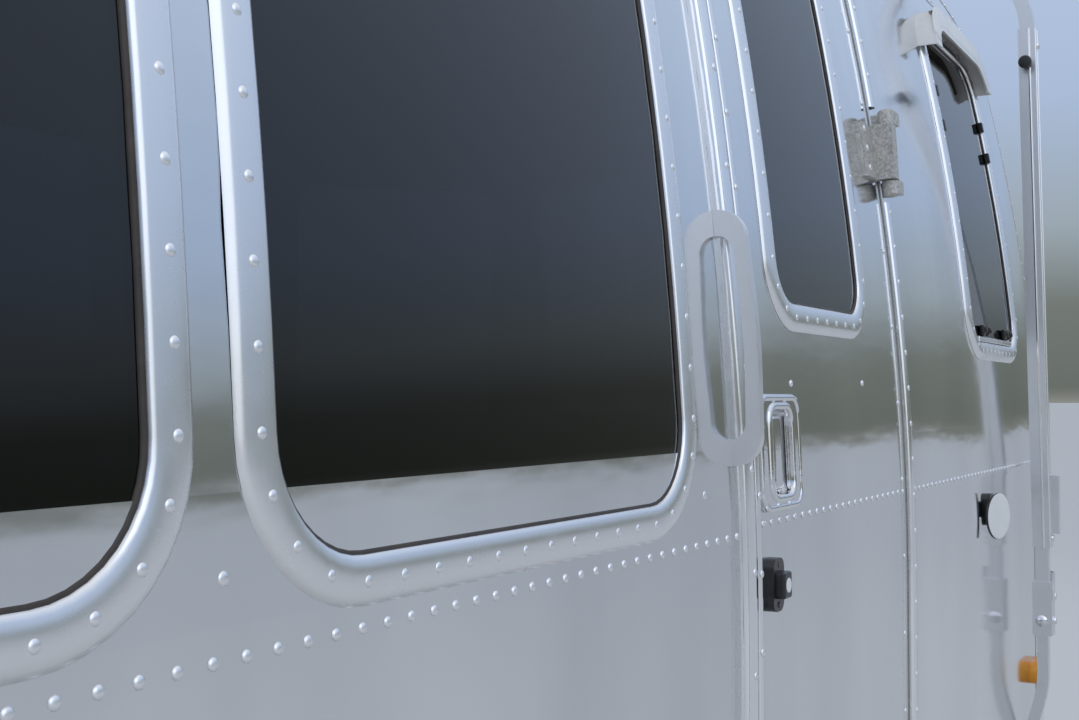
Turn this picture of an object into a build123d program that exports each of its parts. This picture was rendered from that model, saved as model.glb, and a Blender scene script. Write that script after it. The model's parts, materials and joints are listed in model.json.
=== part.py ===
from build123d import *
import os
from math import asin, cos, degrees, radians, sin

# Travel caravan in millimetres: x forward to the hitch, y to the street side, z up, ground at z = 0.
# The door is on the curb side, at negative y. All places are given from the middle of the body shell.

# Body shell
BODY_LENGTH = 7060
BODY_WIDTH = 2500
WALL = 40
WALL_BOTTOM = 480
BELT_Z = 1360
EAVE_Z = 2340
CORNER_R = 880
LEAN_Z = BELT_Z - 130
LEAN_R = 4400
LEAN_RISE = 1000
SHOULDER_R = 580
SHOULDER_END = 72
CROWN_R = 1200
HALF_X = BODY_LENGTH / 2 - CORNER_R
HALF_Y = BODY_WIDTH / 2 - CORNER_R
SKIN_Y = BODY_WIDTH / 2
SKIN_X = BODY_LENGTH / 2

# Floor and belly pan
FLOOR_TOP = 600
FLOOR_T = 40
PAN_BOTTOM = 400
PAN_T = 5
PAN_R = 76

# Windows
GLASS_IN = 1
GLASS_T = 6
FRAME_W = 34
FRAME_T = 5
SILL_LOW = BELT_Z + 40
SILL_HIGH = BELT_Z + 255
HEAD_Z = BELT_Z + 850

# Door, whose hinge line stands proud of the skin and leans in with the wall
HINGE_X = SKIN_X - CORNER_R - 1113
LOW_HINGE_Z = 910
LOW_HINGE_OUT = 35
HIGH_HINGE_Z = 1875
HIGH_HINGE_OUT = 24
DOOR_R = 634
DOOR_BOTTOM = 505
DOOR_TOP = 2270
DOOR_CORNER = 90
DOOR_GAP = 6

# Running gear
AXLE_MID_X = -350
AXLE_SPACING = 850
TYRE_R = 359
TYRE_W = 215
RIM_R = 203
TRACK_Y = 1105
SPINDLE_R = 22
FIT = 0.05
AXLES = {"front": AXLE_MID_X + AXLE_SPACING / 2, "rear": AXLE_MID_X - AXLE_SPACING / 2}
SIDES = {"left": 1, "right": -1}

# Reach of the whole vehicle, and the shift that puts the origin below its middle
NOSE_X = 4780
TAIL_X = -3780
CURB_REACH = 1330
STREET_REACH = 1262
SHIFT = Location((-(NOSE_X + TAIL_X) / 2, (CURB_REACH - STREET_REACH) / 2, 0))

nodes = {}


def block(x0, x1, y0, y1, z0, z1):
    middle = Pos((x0 + x1) / 2, (y0 + y1) / 2, (z0 + z1) / 2)
    return middle * Box(x1 - x0, y1 - y0, z1 - z0)


def rod(start, end, radius):
    start, end = Vector(*start), Vector(*end)
    length = (end - start).length
    return extrude(Plane(origin=start, z_dir=end - start) * Circle(radius), length)


def polar(centre, radius, angle):
    return (centre[0] + radius * cos(radians(angle)), centre[1] + radius * sin(radians(angle)))


# The half section of the body: a vertical wall, then three tangent arcs up to the flat crown
LEAN_END = degrees(asin(LEAN_RISE / LEAN_R))
LEAN_CENTRE = (CORNER_R - LEAN_R, LEAN_Z)
SHOULDER_CENTRE = polar(LEAN_CENTRE, LEAN_R - SHOULDER_R, LEAN_END)
CROWN_CENTRE = polar(SHOULDER_CENTRE, SHOULDER_R - CROWN_R, SHOULDER_END)
ROOF_Z = CROWN_CENTRE[1] + CROWN_R


def half_section(inset):
    lean = CenterArc(LEAN_CENTRE, LEAN_R - inset, 0, LEAN_END)
    shoulder = CenterArc(SHOULDER_CENTRE, SHOULDER_R - inset, LEAN_END, SHOULDER_END - LEAN_END)
    crown = CenterArc(CROWN_CENTRE, CROWN_R - inset, SHOULDER_END, 90 - SHOULDER_END)
    foot = (CORNER_R - inset, 0)
    peak = (0, ROOF_Z - inset)
    edges = [Line(foot, lean @ 0), lean, shoulder, crown, Line(crown @ 1, peak)]
    edges += [Line(peak, (0, 0)), Line((0, 0), foot)]
    return make_face(Curve() + edges)


def band(outer, inner, low, high):
    """Section of a skin between two insets, and between two heights."""
    ring = half_section(outer) - half_section(inner)
    window = Pos(500, (low + high) / 2) * Rectangle(1000, high - low)
    return ring & window


def standing(section, x, y, angle):
    """Stand a section up at a point, with its own x axis pointing along the angle."""
    dx, dy = cos(radians(angle)), sin(radians(angle))
    return Plane(origin=(x, y, 0), x_dir=(dx, dy, 0), z_dir=(dy, -dx, 0)) * section


def along_side(section, side, x0, x1):
    """Extrude a section along a side wall, from x0 to x1."""
    if side < 0:
        return extrude(standing(section, x1, -HALF_Y, -90), x1 - x0)
    return extrude(standing(section, x0, HALF_Y, 90), x1 - x0)


def round_end(section, end):
    """Carry a section round one end: corner, end wall, corner."""
    x = end * HALF_X
    first = -90 if end > 0 else 90
    start_y = -HALF_Y if end > 0 else HALF_Y
    first_corner = revolve(standing(section, x, start_y, first), Axis((x, start_y, 0), (0, 0, 1)), 90)
    wall = extrude(standing(section, x, -start_y, first + 90), 2 * HALF_Y)
    standing_there = standing(section, x, -start_y, first + 90)
    second_corner = revolve(standing_there, Axis((x, -start_y, 0), (0, 0, 1)), 90)
    return first_corner + wall + second_corner


def rounded_face(points, radii):
    """A face through the points, each corner rounded by its radius, or left sharp where that is 0."""
    face = Sketch() + make_face(Polyline(*points, close=True))
    for point, radius in zip(points, radii):
        if radius:
            face = fillet(face.vertices().sort_by_distance((*point, 0))[0], radius)
    return face


def rounded_prism(x, y, angle, width, low, high, radius, near, far):
    """Prism with a rounded rectangular section, pointing out of the body along the angle."""
    dx, dy = cos(radians(angle)), sin(radians(angle))
    origin = (x + dx * near, y + dy * near, (low + high) / 2)
    plane = Plane(origin=origin, x_dir=(-dy, dx, 0), z_dir=(dx, dy, 0))
    return extrude(plane * RectangleRounded(width, high - low, radius), far - near)


# Windows in the side walls: side, rear edge, front edge, sill, head, corner radius
SIDE_WINDOWS = (
    (-1, -590, 7, SILL_LOW, HEAD_Z, 80),
    (-1, 108, 708, SILL_LOW, HEAD_Z, 80),
    (-1, 2075, 2490, SILL_HIGH - 8, HEAD_Z, 60),
    (-1, -2300, -1560, SILL_LOW, HEAD_Z, 80),
    (1, -2300, -1560, SILL_LOW, HEAD_Z, 80),
    (1, -390, 207, SILL_LOW, HEAD_Z, 80),
    (1, 308, 908, SILL_LOW, HEAD_Z, 80),
    (1, 1700, 2440, SILL_LOW, HEAD_Z, 80),
)
# Windows in each end, as seen from its middle: offset along y, angle from the end's direction, width
END_WINDOWS = (
    (0, 0, 960),
    (HALF_Y, 44, 666),
    (-HALF_Y, -44, 666),
)
END_CORNER = 80
# The window with the hood, counted along the curb side; its frame is thicker
HOODED = 2
HOODED_FRAME_T = 9


# How far in and out of the body the window prisms reach, from its centre line and from its corners' centres
SIDE_CUT = (950, 1400)
END_CUT = (350, 1100)


def side_prisms(side, grow):
    """Prisms through the side windows, grown all round."""
    prisms = []
    for row_side, rear, front, sill, head, radius in SIDE_WINDOWS:
        if row_side == side:
            prisms.append(rounded_prism((rear + front) / 2, 0, side * 90, front - rear + 2 * grow,
                                        sill - grow, head + grow, radius + grow, *SIDE_CUT))
    return prisms


def end_prisms(end, grow):
    prisms = []
    for y, angle, width in END_WINDOWS:
        direction = angle if end > 0 else 180 - angle
        prisms.append(rounded_prism(end * HALF_X, y, direction, width + 2 * grow, SILL_LOW - grow,
                                    HEAD_Z + grow, END_CORNER + grow, *END_CUT))
    return prisms


def wall_y(z):
    """Where the curb side's outer skin is, at a height below the shoulder."""
    rise = max(0, z - LEAN_Z)
    return -SKIN_Y + LEAN_R - (LEAN_R ** 2 - rise ** 2) ** 0.5


# The hinge line runs through both pins. The door's outline is turned about it, so its gap never changes.
PIN_LOW = Vector(HINGE_X, wall_y(LOW_HINGE_Z) - LOW_HINGE_OUT, LOW_HINGE_Z)
PIN_HIGH = Vector(HINGE_X, wall_y(HIGH_HINGE_Z) - HIGH_HINGE_OUT, HIGH_HINGE_Z)
PIN_DIR = (PIN_HIGH - PIN_LOW).normalized()
FORWARD = Vector(1, 0, 0)
INWARD = PIN_DIR.cross(FORWARD)


def on_pin(centre):
    """Frame of a hinge: x forward, y into the body, z up along the pin."""
    return Plane(origin=centre, x_dir=FORWARD, z_dir=PIN_DIR)


def door_cutter(grow):
    """The space that the door fills, grown by a gap."""
    low, high = DOOR_BOTTOM - grow - LOW_HINGE_Z, DOOR_TOP + grow - LOW_HINGE_Z
    reach, middle = DOOR_R + grow, (low + high) / 2
    outline = Pos(0, middle) * RectangleRounded(2 * reach, high - low, DOOR_CORNER + grow)
    outline = outline & (Pos(reach / 2, middle) * Rectangle(reach, high - low))
    section = Plane(origin=PIN_LOW, x_dir=INWARD, z_dir=FORWARD) * outline
    swept = revolve(section, Axis(PIN_LOW, PIN_DIR), 90)
    edge = DOOR_GAP / 2
    if grow:
        return swept + on_pin(PIN_LOW) * block(-1, edge, 0, 400, low, high)
    return swept - on_pin(PIN_LOW) * block(-edge, 50, -50, 700, low - 5, high + 5)


DOOR_WINDOW = (HINGE_X - 524, HINGE_X - 187, SILL_HIGH, HEAD_Z, 50)


def door_prism(grow):
    rear, front, sill, head, radius = DOOR_WINDOW
    return rounded_prism((rear + front) / 2, 0, -90, front - rear + 2 * grow, sill - grow, head + grow,
                         radius + grow, *SIDE_CUT)


# Wheel arches
ARCH_X0 = AXLE_MID_X - AXLE_SPACING / 2 - 420
ARCH_X1 = AXLE_MID_X + AXLE_SPACING / 2 + 420
ARCH_TOP = 800
WELL_IN_Y = 950
WELL_T = 4


def arch_prism(side, grow, y0, y1):
    """The arch opening: a long opening with large round upper corners."""
    height = 2 * (ARCH_TOP + grow)
    shape = RectangleRounded(ARCH_X1 - ARCH_X0 + 2 * grow, height, 230 + grow)
    plane = Plane(origin=((ARCH_X0 + ARCH_X1) / 2, side * y0, 0), x_dir=(1, 0, 0), z_dir=(0, side, 0))
    return extrude(plane * shape, y1 - y0)


# Hatches: the rear luggage lid and the street side locker lid
REAR_HATCH = {"half_width": 330, "low": 760, "high": 1230}
SIDE_HATCH = {"x0": 1500, "x1": 2150, "low": 640, "high": 1010}
HATCH_GAP = 6
HATCH_PIN_OUT = 12
HATCH_PIN_R = 5


def make_shell():
    lower = band(0, WALL, WALL_BOTTOM, BELT_Z)
    upper = band(0, WALL, BELT_Z, EAVE_Z)
    eaves = band(0, WALL, EAVE_Z, ROOF_Z + 1)
    dome = band(0, WALL, BELT_Z, ROOF_Z + 1)
    doorway = door_cutter(DOOR_GAP)
    for name, side in SIDES.items():
        low_wall = along_side(lower, side, -HALF_X, HALF_X) - arch_prism(side, 0, 1100, 1300)
        high_wall = along_side(upper, side, -HALF_X, HALF_X) - side_prisms(side, 0)
        if side < 0:
            low_wall -= doorway
            high_wall -= doorway
        else:
            low_wall -= block(SIDE_HATCH["x0"] - HATCH_GAP, SIDE_HATCH["x1"] + HATCH_GAP, 1100, 1300,
                              SIDE_HATCH["low"] - HATCH_GAP, SIDE_HATCH["high"] + HATCH_GAP)
        nodes[f"side_{name}_lower"] = low_wall
        nodes[f"side_{name}_upper"] = high_wall
    for name, end in (("front", 1), ("rear", -1)):
        low_wall = round_end(lower, end)
        if end < 0:
            half = REAR_HATCH["half_width"] + HATCH_GAP
            low_wall -= block(-SKIN_X - 20, -SKIN_X + 100, -half, half, REAR_HATCH["low"] - HATCH_GAP,
                              REAR_HATCH["high"] + HATCH_GAP)
        nodes[f"{name}_lower"] = low_wall
        nodes[f"{name}_dome"] = round_end(dome, end) - end_prisms(end, 0)
    crown = block(-HALF_X, HALF_X, -HALF_Y, HALF_Y, ROOF_Z - WALL, ROOF_Z)
    roof = crown + along_side(eaves, -1, -HALF_X, HALF_X) + along_side(eaves, 1, -HALF_X, HALF_X)
    hole = VENT_SIZE / 2 - VENT_RIM
    nodes["roof"] = roof - block(VENT_X - hole, VENT_X + hole, -hole, hole, ROOF_Z - 60, ROOF_Z + 10)


def plan_slab(inset, low, high):
    """A slab with the body's rounded plan outline."""
    outline = RectangleRounded(BODY_LENGTH - 2 * inset, BODY_WIDTH - 2 * inset, CORNER_R - inset)
    return extrude(Pos(0, 0, low) * outline, high - low)


def well_block(side, grow, top):
    y0, y1 = sorted((side * (WELL_IN_Y - grow), side * (SKIN_Y - WALL)))
    return block(ARCH_X0 - 20 - grow, ARCH_X1 + 20 + grow, y0, y1, PAN_BOTTOM - 10, top + grow)


def pan_section():
    """Half section of the belly pan, its lower edge rolled under outside and bent in flats inside."""
    edge, low = CORNER_R - WALL / 2, PAN_BOTTOM
    centre = (edge - PAN_R, low + PAN_R)
    roll = CenterArc(centre, PAN_R, -90, 90)
    bends = [polar(centre, PAN_R - PAN_T, angle) for angle in (0, -30, -60, -90)]
    inside = Polyline((edge - PAN_T, WALL_BOTTOM), *bends, (0, low + PAN_T))
    lines = [roll, Line(roll @ 1, (edge, WALL_BOTTOM)), Line((edge, WALL_BOTTOM), inside @ 0), inside]
    lines += [Line(inside @ 1, (0, low)), Line((0, low), roll @ 0)]
    return make_face(Curve() + lines)


def make_floor():
    floor = plan_slab(WALL, FLOOR_TOP - FLOOR_T, FLOOR_TOP)
    section = pan_section()
    pan = round_end(section, 1) + round_end(section, -1)
    for side in SIDES.values():
        pan += along_side(section, side, -HALF_X, HALF_X)
        floor -= well_block(side, 0, WELL_TOP)
    pan += block(-HALF_X, HALF_X, -HALF_Y, HALF_Y, PAN_BOTTOM, PAN_BOTTOM + PAN_T)
    for side in SIDES.values():
        pan -= block(ARCH_X0 - 20, ARCH_X1 + 20, *sorted((side * WELL_IN_Y, side * 1300)), 300, 700)
    pan -= a_frame_beams(3)
    pan -= block(SKIN_X - 500, SKIN_X + 10, -150, 150, PAN_BOTTOM - 5, WALL_BOTTOM + 5)
    for y in (-RAIL_Y, RAIL_Y):
        pan -= block(-SKIN_X - 50, -SKIN_X + 350, y - RAIL_W / 2 - 3, y + RAIL_W / 2 + 3, 380, 500)
    nodes["floor"] = floor
    nodes["belly_pan"] = pan
    wells = []
    for side in SIDES.values():
        inner = block(ARCH_X0 - 20 + WELL_T, ARCH_X1 + 20 - WELL_T,
                      *sorted((side * (WELL_IN_Y + WELL_T), side * 1300)), 300, WELL_TOP - WELL_T)
        below = block(-3000, 3000, -1300, 1300, 300, WALL_BOTTOM)
        wells.append(well_block(side, 0, WELL_TOP) - inner - below)
    nodes["wheel_wells"] = Compound(wells)


WELL_TOP = 850

# Chassis
RAIL_Y = 700
RAIL_W = 60
HITCH_Z0 = 398
HITCH_Z1 = 476
APEX_X = NOSE_X - 260


def a_frame_beams(grow):
    beams = []
    for side in (-1, 1):
        start = Vector(2350, side * (RAIL_Y - 40), (HITCH_Z0 + HITCH_Z1) / 2)
        end = Vector(APEX_X, side * 55, (HITCH_Z0 + HITCH_Z1) / 2)
        plane = Plane(origin=start, x_dir=(0, 0, 1), z_dir=end - start)
        size = Rectangle(HITCH_Z1 - HITCH_Z0 + 2 * grow, RAIL_W + 2 * grow)
        beams.append(extrude(plane * size, (end - start).length))
    return beams[0] + beams[1]


def make_chassis():
    rail_top = FLOOR_TOP - FLOOR_T
    rail_low = PAN_BOTTOM + PAN_T
    frame = a_frame_beams(0)
    for side in (-1, 1):
        y0, y1 = side * RAIL_Y - RAIL_W / 2, side * RAIL_Y + RAIL_W / 2
        frame += block(-3150, 2900, y0, y1, rail_low, rail_top)
        frame += block(BUMPER_X0 + 20, -3150, y0, y1, rail_low, WALL_BOTTOM - 4)
    for x in (-3120, -2200, -1300, 600, 1500, 2450):
        frame += block(x - 30, x + 30, -RAIL_Y, RAIL_Y, rail_low, rail_top)
    frame += block(APEX_X - 160, APEX_X + 30, -110, 110, HITCH_Z0, HITCH_Z1)
    frame -= rod((JACK_X, 0, 200), (JACK_X, 0, 700), JACK_OUTER_R)
    nodes["chassis_frame"] = frame


# Coupler and tongue jack
BALL_R = 25.4
BALL_X = NOSE_X - 60
JACK_X = NOSE_X - 360
JACK_OUTER_R = 40
JACK_LEG_R = 30
JACK_LIFT = 280


def make_coupler():
    cover = block(APEX_X - 100, BALL_X, -50, 50, HITCH_Z1, HITCH_Z1 + 34)
    cover += block(APEX_X + 30, BALL_X, -45, 45, HITCH_Z0 + 20, HITCH_Z1 + 34)
    head = Pos(BALL_X, 0, (HITCH_Z0 + 20 + HITCH_Z1 + 34) / 2) * Cylinder(60, HITCH_Z1 + 14 - HITCH_Z0)
    cover += head
    cover = cover & block(0, NOSE_X, -200, 200, 0, 1000)
    cover -= rod((BALL_X, 0, 300), (BALL_X, 0, HITCH_Z0 + 70), BALL_R + 0.5)
    cover -= rod((JACK_X, 0, 200), (JACK_X, 0, 700), JACK_OUTER_R)
    nodes["coupler"] = cover


def make_jack():
    post = rod((JACK_X, 0, 300), (JACK_X, 0, 900), JACK_OUTER_R)
    post -= rod((JACK_X, 0, 299), (JACK_X, 0, 888), JACK_LEG_R + FIT)
    head = Pos(JACK_X, 0, 950) * fillet(Box(130, 110, 100).edges().filter_by(Axis.Z), 30)
    nodes["jack_post"] = post + head
    leg = rod((JACK_X, 0, 10), (JACK_X, 0, 600), JACK_LEG_R) + rod((JACK_X, 0, 0), (JACK_X, 0, 10), 95)
    nodes["jack_leg"] = leg


GAS_X = SKIN_X + 340


def make_gas_cover():
    shape = extrude(Pos(GAS_X, 0, HITCH_Z1) * RectangleRounded(330, 640, 150), 620)
    nodes["gas_bottle_cover"] = fillet(shape.faces().sort_by(Axis.Z)[-1].edges(), 90)


# Rear bumper
BUMPER_X0 = TAIL_X
BUMPER_Z = (405, 505)
BUMPER_HALF = 1000
BUMPER_R = 180
BUMPER_T = 55
BUMPER_END = -3400


def make_bumper():
    outer = RectangleRounded(-2 * BUMPER_X0, 2 * BUMPER_HALF, BUMPER_R)
    inner = offset(outer, -BUMPER_T)
    ring = extrude(Pos(0, 0, BUMPER_Z[0]) * (outer - inner), BUMPER_Z[1] - BUMPER_Z[0])
    bar = ring & block(BUMPER_X0 - 10, BUMPER_END, -1300, 1300, 0, 1000)
    bar -= block(BUMPER_X0 + 12, BUMPER_X0 + 80, 200 - BUMPER_HALF, BUMPER_HALF - 200, BUMPER_Z[0] + 12,
                 BUMPER_Z[1] - 12)
    for side in (-1, 1):
        y = side * RAIL_Y
        bar -= block(BUMPER_X0 + 20, -3150, y - RAIL_W / 2, y + RAIL_W / 2, 300, WALL_BOTTOM - 4)
    nodes["rear_bumper"] = bar


# Wheels on torsion axles, each spindle carried by a trailing arm
def make_running_gear():
    for place, x in AXLES.items():
        tube_x, tube_z = x + 170, 345
        axle = block(tube_x - 40, tube_x + 40, -870, 870, tube_z - 40, tube_z + 40)
        for side in SIDES.values():
            y0, y1 = sorted((side * 660, side * 740))
            axle += block(tube_x - 70, tube_x + 70, y0, y1, tube_z + 40, PAN_BOTTOM)
            arm = Pos(tube_x, side * 880, tube_z) * (Rot(90, 0, 0) * Cylinder(55, 24))
            arm += Pos(x, side * 880, TYRE_R) * (Rot(90, 0, 0) * Cylinder(36, 24))
            arm += block(x, tube_x, side * 880 - 12, side * 880 + 12, tube_z - 30, tube_z + 34)
            axle += arm + rod((x, side * 880, TYRE_R), (x, side * (TRACK_Y + 30), TYRE_R), SPINDLE_R)
        nodes[f"axle_{place}"] = axle
        for name, side in SIDES.items():
            nodes[f"rim_{place}_{name}"] = make_rim(x, side)
            nodes[f"tyre_{place}_{name}"] = make_tyre(x, side)


def wheel_plane(x, side):
    """Wheel section plane: its x axis is the radius, its y axis points outboard."""
    return Plane(origin=(x, side * TRACK_Y, TYRE_R), x_dir=(0, 0, 1), z_dir=(-side, 0, 0))


def turned(outline, x, side):
    centre = (x, side * TRACK_Y, TYRE_R)
    section = wheel_plane(x, side) * make_face(Polyline(*outline, close=True))
    return revolve(section, Axis(centre, (0, 1, 0)), 360)


def make_rim(x, side):
    half = TYRE_W / 2 - 20
    barrel = [(RIM_R - 22, -half), (RIM_R + 10, -half), (RIM_R, -half + 12), (RIM_R, half - 12),
              (RIM_R + 10, half), (RIM_R - 12, half), (RIM_R - 22, half - 40)]
    dish = [(30, 30), (95, 30), (120, 52), (RIM_R - 14, 40), (RIM_R - 14, 28), (118, 38), (100, 18), (30, 18)]
    hub = [(SPINDLE_R + FIT, -110), (130, -110), (130, -40), (62, -34), (62, 62), (SPINDLE_R + FIT, 62)]
    cap = [(0, 62), (62, 62), (54, 84), (0, 88)]
    rim = turned(barrel, x, side) + turned(dish, x, side) + turned(hub, x, side) + turned(cap, x, side)
    for index in range(8):
        angle = radians(index * 45)
        px, pz = x + 152 * cos(angle), TYRE_R + 152 * sin(angle)
        rim -= rod((px, side * (TRACK_Y + 10), pz), (px, side * (TRACK_Y + 80), pz), 18)
    return rim


def make_tyre(x, side):
    """Tyre section in flats: bead, sidewall, widest point, tread edge."""
    half = TYRE_W / 2
    bead, widest, tread = (RIM_R + 0.3, half - 34), (TYRE_R - 76, half), (TYRE_R, half - 20)
    outer = [bead, widest, tread]
    inner = [(radius, -across) for radius, across in reversed(outer)]
    return turned(outer + inner, x, side)


# Glass and frames
def make_windows():
    low, high = SILL_LOW - 60, HEAD_Z + 60
    frame_band, glass_band = band(-FRAME_T, 0, low, high), band(GLASS_IN, GLASS_IN + GLASS_T, low, high)
    frames, panes = [], []
    for side in (-1, 1):
        strip = along_side(frame_band, side, -HALF_X, HALF_X)
        sheet = along_side(glass_band, side, -HALF_X, HALF_X)
        thick_strip = along_side(band(-HOODED_FRAME_T, 0, low, high), side, -HALF_X, HALF_X)
        for index, (outer, inner) in enumerate(zip(side_prisms(side, FRAME_W), side_prisms(side, 0))):
            hooded = side < 0 and index == HOODED
            frames += (((thick_strip if hooded else strip) & outer) - inner).solids()
            panes += (sheet & inner).solids()
    for end in (-1, 1):
        strip = round_end(frame_band, end)
        sheet = round_end(glass_band, end)
        for outer, inner in zip(end_prisms(end, FRAME_W), end_prisms(end, 0)):
            frames += ((strip & outer) - inner).solids()
            panes += (sheet & inner).solids()
    nodes["window_frames"] = Compound(frames)
    nodes["window_glass"] = Compound(panes)


def on_right_skin(low, high, outer, inner, x0, x1):
    return along_side(band(outer, inner, low, high), -1, x0, x1)


# Moulded hood over the top of the front side window, open towards the glass
HOOD_LOW = HEAD_Z - 45
HOOD_OUT = 36
HOOD_T = 4
HOOD_SIDE = FRAME_W + 4


def make_hood():
    rear, front = SIDE_WINDOWS[HOODED][1] - 60, SIDE_WINDOWS[HOODED][2] + 60
    glass, edge_in, edge_out = (side_prisms(-1, grow)[HOODED] for grow in (2, HOOD_SIDE, HOOD_SIDE + HOOD_T))
    face = on_right_skin(HOOD_LOW, EAVE_Z, -HOOD_OUT, HOOD_T - HOOD_OUT, rear, front)
    edge = on_right_skin(HOOD_LOW, EAVE_Z, -HOOD_OUT, 0, rear, front)
    nodes["window_hood"] = ((face & edge_out) - glass) + ((edge & edge_out) - edge_in)


# Entry door and what is on it
LOCK_X = HINGE_X - 558
LOCK_Z = (BELT_Z + 12, BELT_Z + 144)
LOCK_W = 134
LOCK_OUT = 6
POCKET_W = 74
POCKET_DEEP = 24
POCKET_WALL = 3
CATCH_REACH = 590
CATCH_Z = BELT_Z - 70
CATCH_OUT = 18
DISC_R = 43


def lock_piece(width, inset, radius, outer, inner):
    """A piece of the lock between two insets from the skin, with a rounded rectangular outline."""
    low, high = LOCK_Z
    layer = on_right_skin(low - 5, high + 5, outer, inner, LOCK_X - LOCK_W, LOCK_X + LOCK_W)
    return layer & rounded_prism(LOCK_X, 0, -90, width, low + inset, high - inset, radius, *SIDE_CUT)


def make_door():
    x0, x1 = HINGE_X - 700, HINGE_X + 20
    pocket = lock_piece(POCKET_W, 14, 18, -LOCK_OUT / 2, POCKET_DEEP)
    walls = on_right_skin(WALL_BOTTOM, EAVE_Z, 0, WALL, x0, x1)
    nodes["door_panel"] = (walls & door_cutter(0)) - door_prism(0) - pocket
    frame_strip = on_right_skin(SILL_HIGH - 60, HEAD_Z + 60, -FRAME_T, 0, x0, x1)
    nodes["door_window_frame"] = (frame_strip & door_prism(FRAME_W)) - door_prism(0)
    sheet = on_right_skin(SILL_HIGH - 60, HEAD_Z + 60, GLASS_IN, GLASS_IN + GLASS_T, x0, x1)
    nodes["door_glass"] = sheet & door_prism(0)
    bowl = lock_piece(LOCK_W, 0, 22, -LOCK_OUT, 0) + pocket
    bowl -= lock_piece(POCKET_W - 2 * POCKET_WALL, 14 + POCKET_WALL, 15, -2 * LOCK_OUT,
                       POCKET_DEEP - POCKET_WALL)
    nodes["door_lock"] = bowl + lock_piece(26, 26, 12, 2, POCKET_DEEP - 1)
    nodes["door_catch"] = make_catch(HINGE_X - CATCH_REACH)
    x = HINGE_X + CATCH_REACH
    arm_end = Vector(x + 26, -SKIN_Y - CATCH_OUT - 8, CATCH_Z)
    mate = make_catch(x) + rod((x, -SKIN_Y - CATCH_OUT + 2, CATCH_Z), arm_end, 5)
    disc_plane = Plane(origin=arm_end, x_dir=(0, 0, 1), z_dir=(-sin(radians(16)), -cos(radians(16)), 0))
    nodes["wall_catch"] = mate + extrude(disc_plane * Pos(-12, 30) * Circle(DISC_R), 4)
    nodes["door_surround"] = make_surround()
    nodes["grab_handle"] = make_grab_handle() - nodes["door_surround"] - walls_behind_handle()


def make_catch(x):
    """A hold-back catch: rounded base plate with a hollow square stub."""
    base = rounded_prism(x, 0, -90, 34, CATCH_Z - 30, CATCH_Z + 30, 12, SKIN_Y - 1, SKIN_Y + 8)
    stub = rounded_prism(x, 0, -90, 24, CATCH_Z - 14, CATCH_Z + 14, 4, SKIN_Y + 8, SKIN_Y + CATCH_OUT)
    skin = on_right_skin(WALL_BOTTOM, EAVE_Z, 0, WALL, x - 50, x + 50)
    return base + stub - skin


SURROUND_X0 = HINGE_X - 697
SURROUND_T = 4
# Ribs on the lock side of the surround: first and last place from its edge, and how proud each one is
RIBS = ((9, 37, 6), (45, 56, 4))


def make_surround():
    low, high = DOOR_BOTTOM - DOOR_GAP - 14, DOOR_TOP + DOOR_GAP + 30
    x1 = HINGE_X + DOOR_GAP / 2 + 22
    plate = on_right_skin(WALL_BOTTOM, EAVE_Z, -SURROUND_T, 0, SURROUND_X0, x1)
    plate = plate & rounded_prism((SURROUND_X0 + x1) / 2, 0, -90, x1 - SURROUND_X0, low, high, 40, *SIDE_CUT)
    for start, end, proud in RIBS:
        plate += on_right_skin(low + 40, high - 50, -SURROUND_T - proud, -SURROUND_T, SURROUND_X0 + start,
                               SURROUND_X0 + end)
    return plate - door_cutter(DOOR_GAP)


# Grab handle: a bowed moulding, thin along its grip and thick at both ends, astride the surround's edge
GRAB_W = 12
GRAB_Z = (BELT_Z + 68, BELT_Z + 342)
GRAB_OUT = 41
GRAB_BULGE = 7
GRAB_T = 15
GRAB_FOOT = 28


def bow_outline(half, out, bulge, radius):
    """Outline of a bow on a wall: half its height, how far it stands out, and how much its middle bulges."""
    points = [(0, half), (out - bulge, half), (out, 0), (out - bulge, -half), (0, -half)]
    return rounded_face(points, [0, radius, 6 * half, radius, 0])


def walls_behind_handle():
    return on_right_skin(WALL_BOTTOM, EAVE_Z, 0, WALL, SURROUND_X0 - GRAB_W, SURROUND_X0 + GRAB_W)


def make_grab_handle():
    low, high = GRAB_Z
    foot, top = Vector(SURROUND_X0, wall_y(low), low), Vector(SURROUND_X0, wall_y(high), high)
    along = (top - foot).normalized()
    wall = Plane(origin=(foot + top) / 2, x_dir=FORWARD.cross(along), z_dir=FORWARD)
    half = (top - foot).length / 2
    outline = bow_outline(half, GRAB_OUT, GRAB_BULGE, GRAB_OUT - GRAB_BULGE - 2)
    inner_out = GRAB_OUT - GRAB_T
    outline -= bow_outline(half - GRAB_FOOT, inner_out, GRAB_BULGE, inner_out - GRAB_BULGE - 1)
    return extrude(wall * outline, GRAB_W / 2, both=True)


# Cast hinges: a block and leaf plate on the door between two knuckles on the wall, which carry the pin
KNUCKLE_R = 13
PIN_R = 6
KNUCKLE_HALF = 42
KNUCKLE_GAP = 1.5
OUTER_KNUCKLE = 20
LEAF_REACH = 72
LEAF_T = 7


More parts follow.
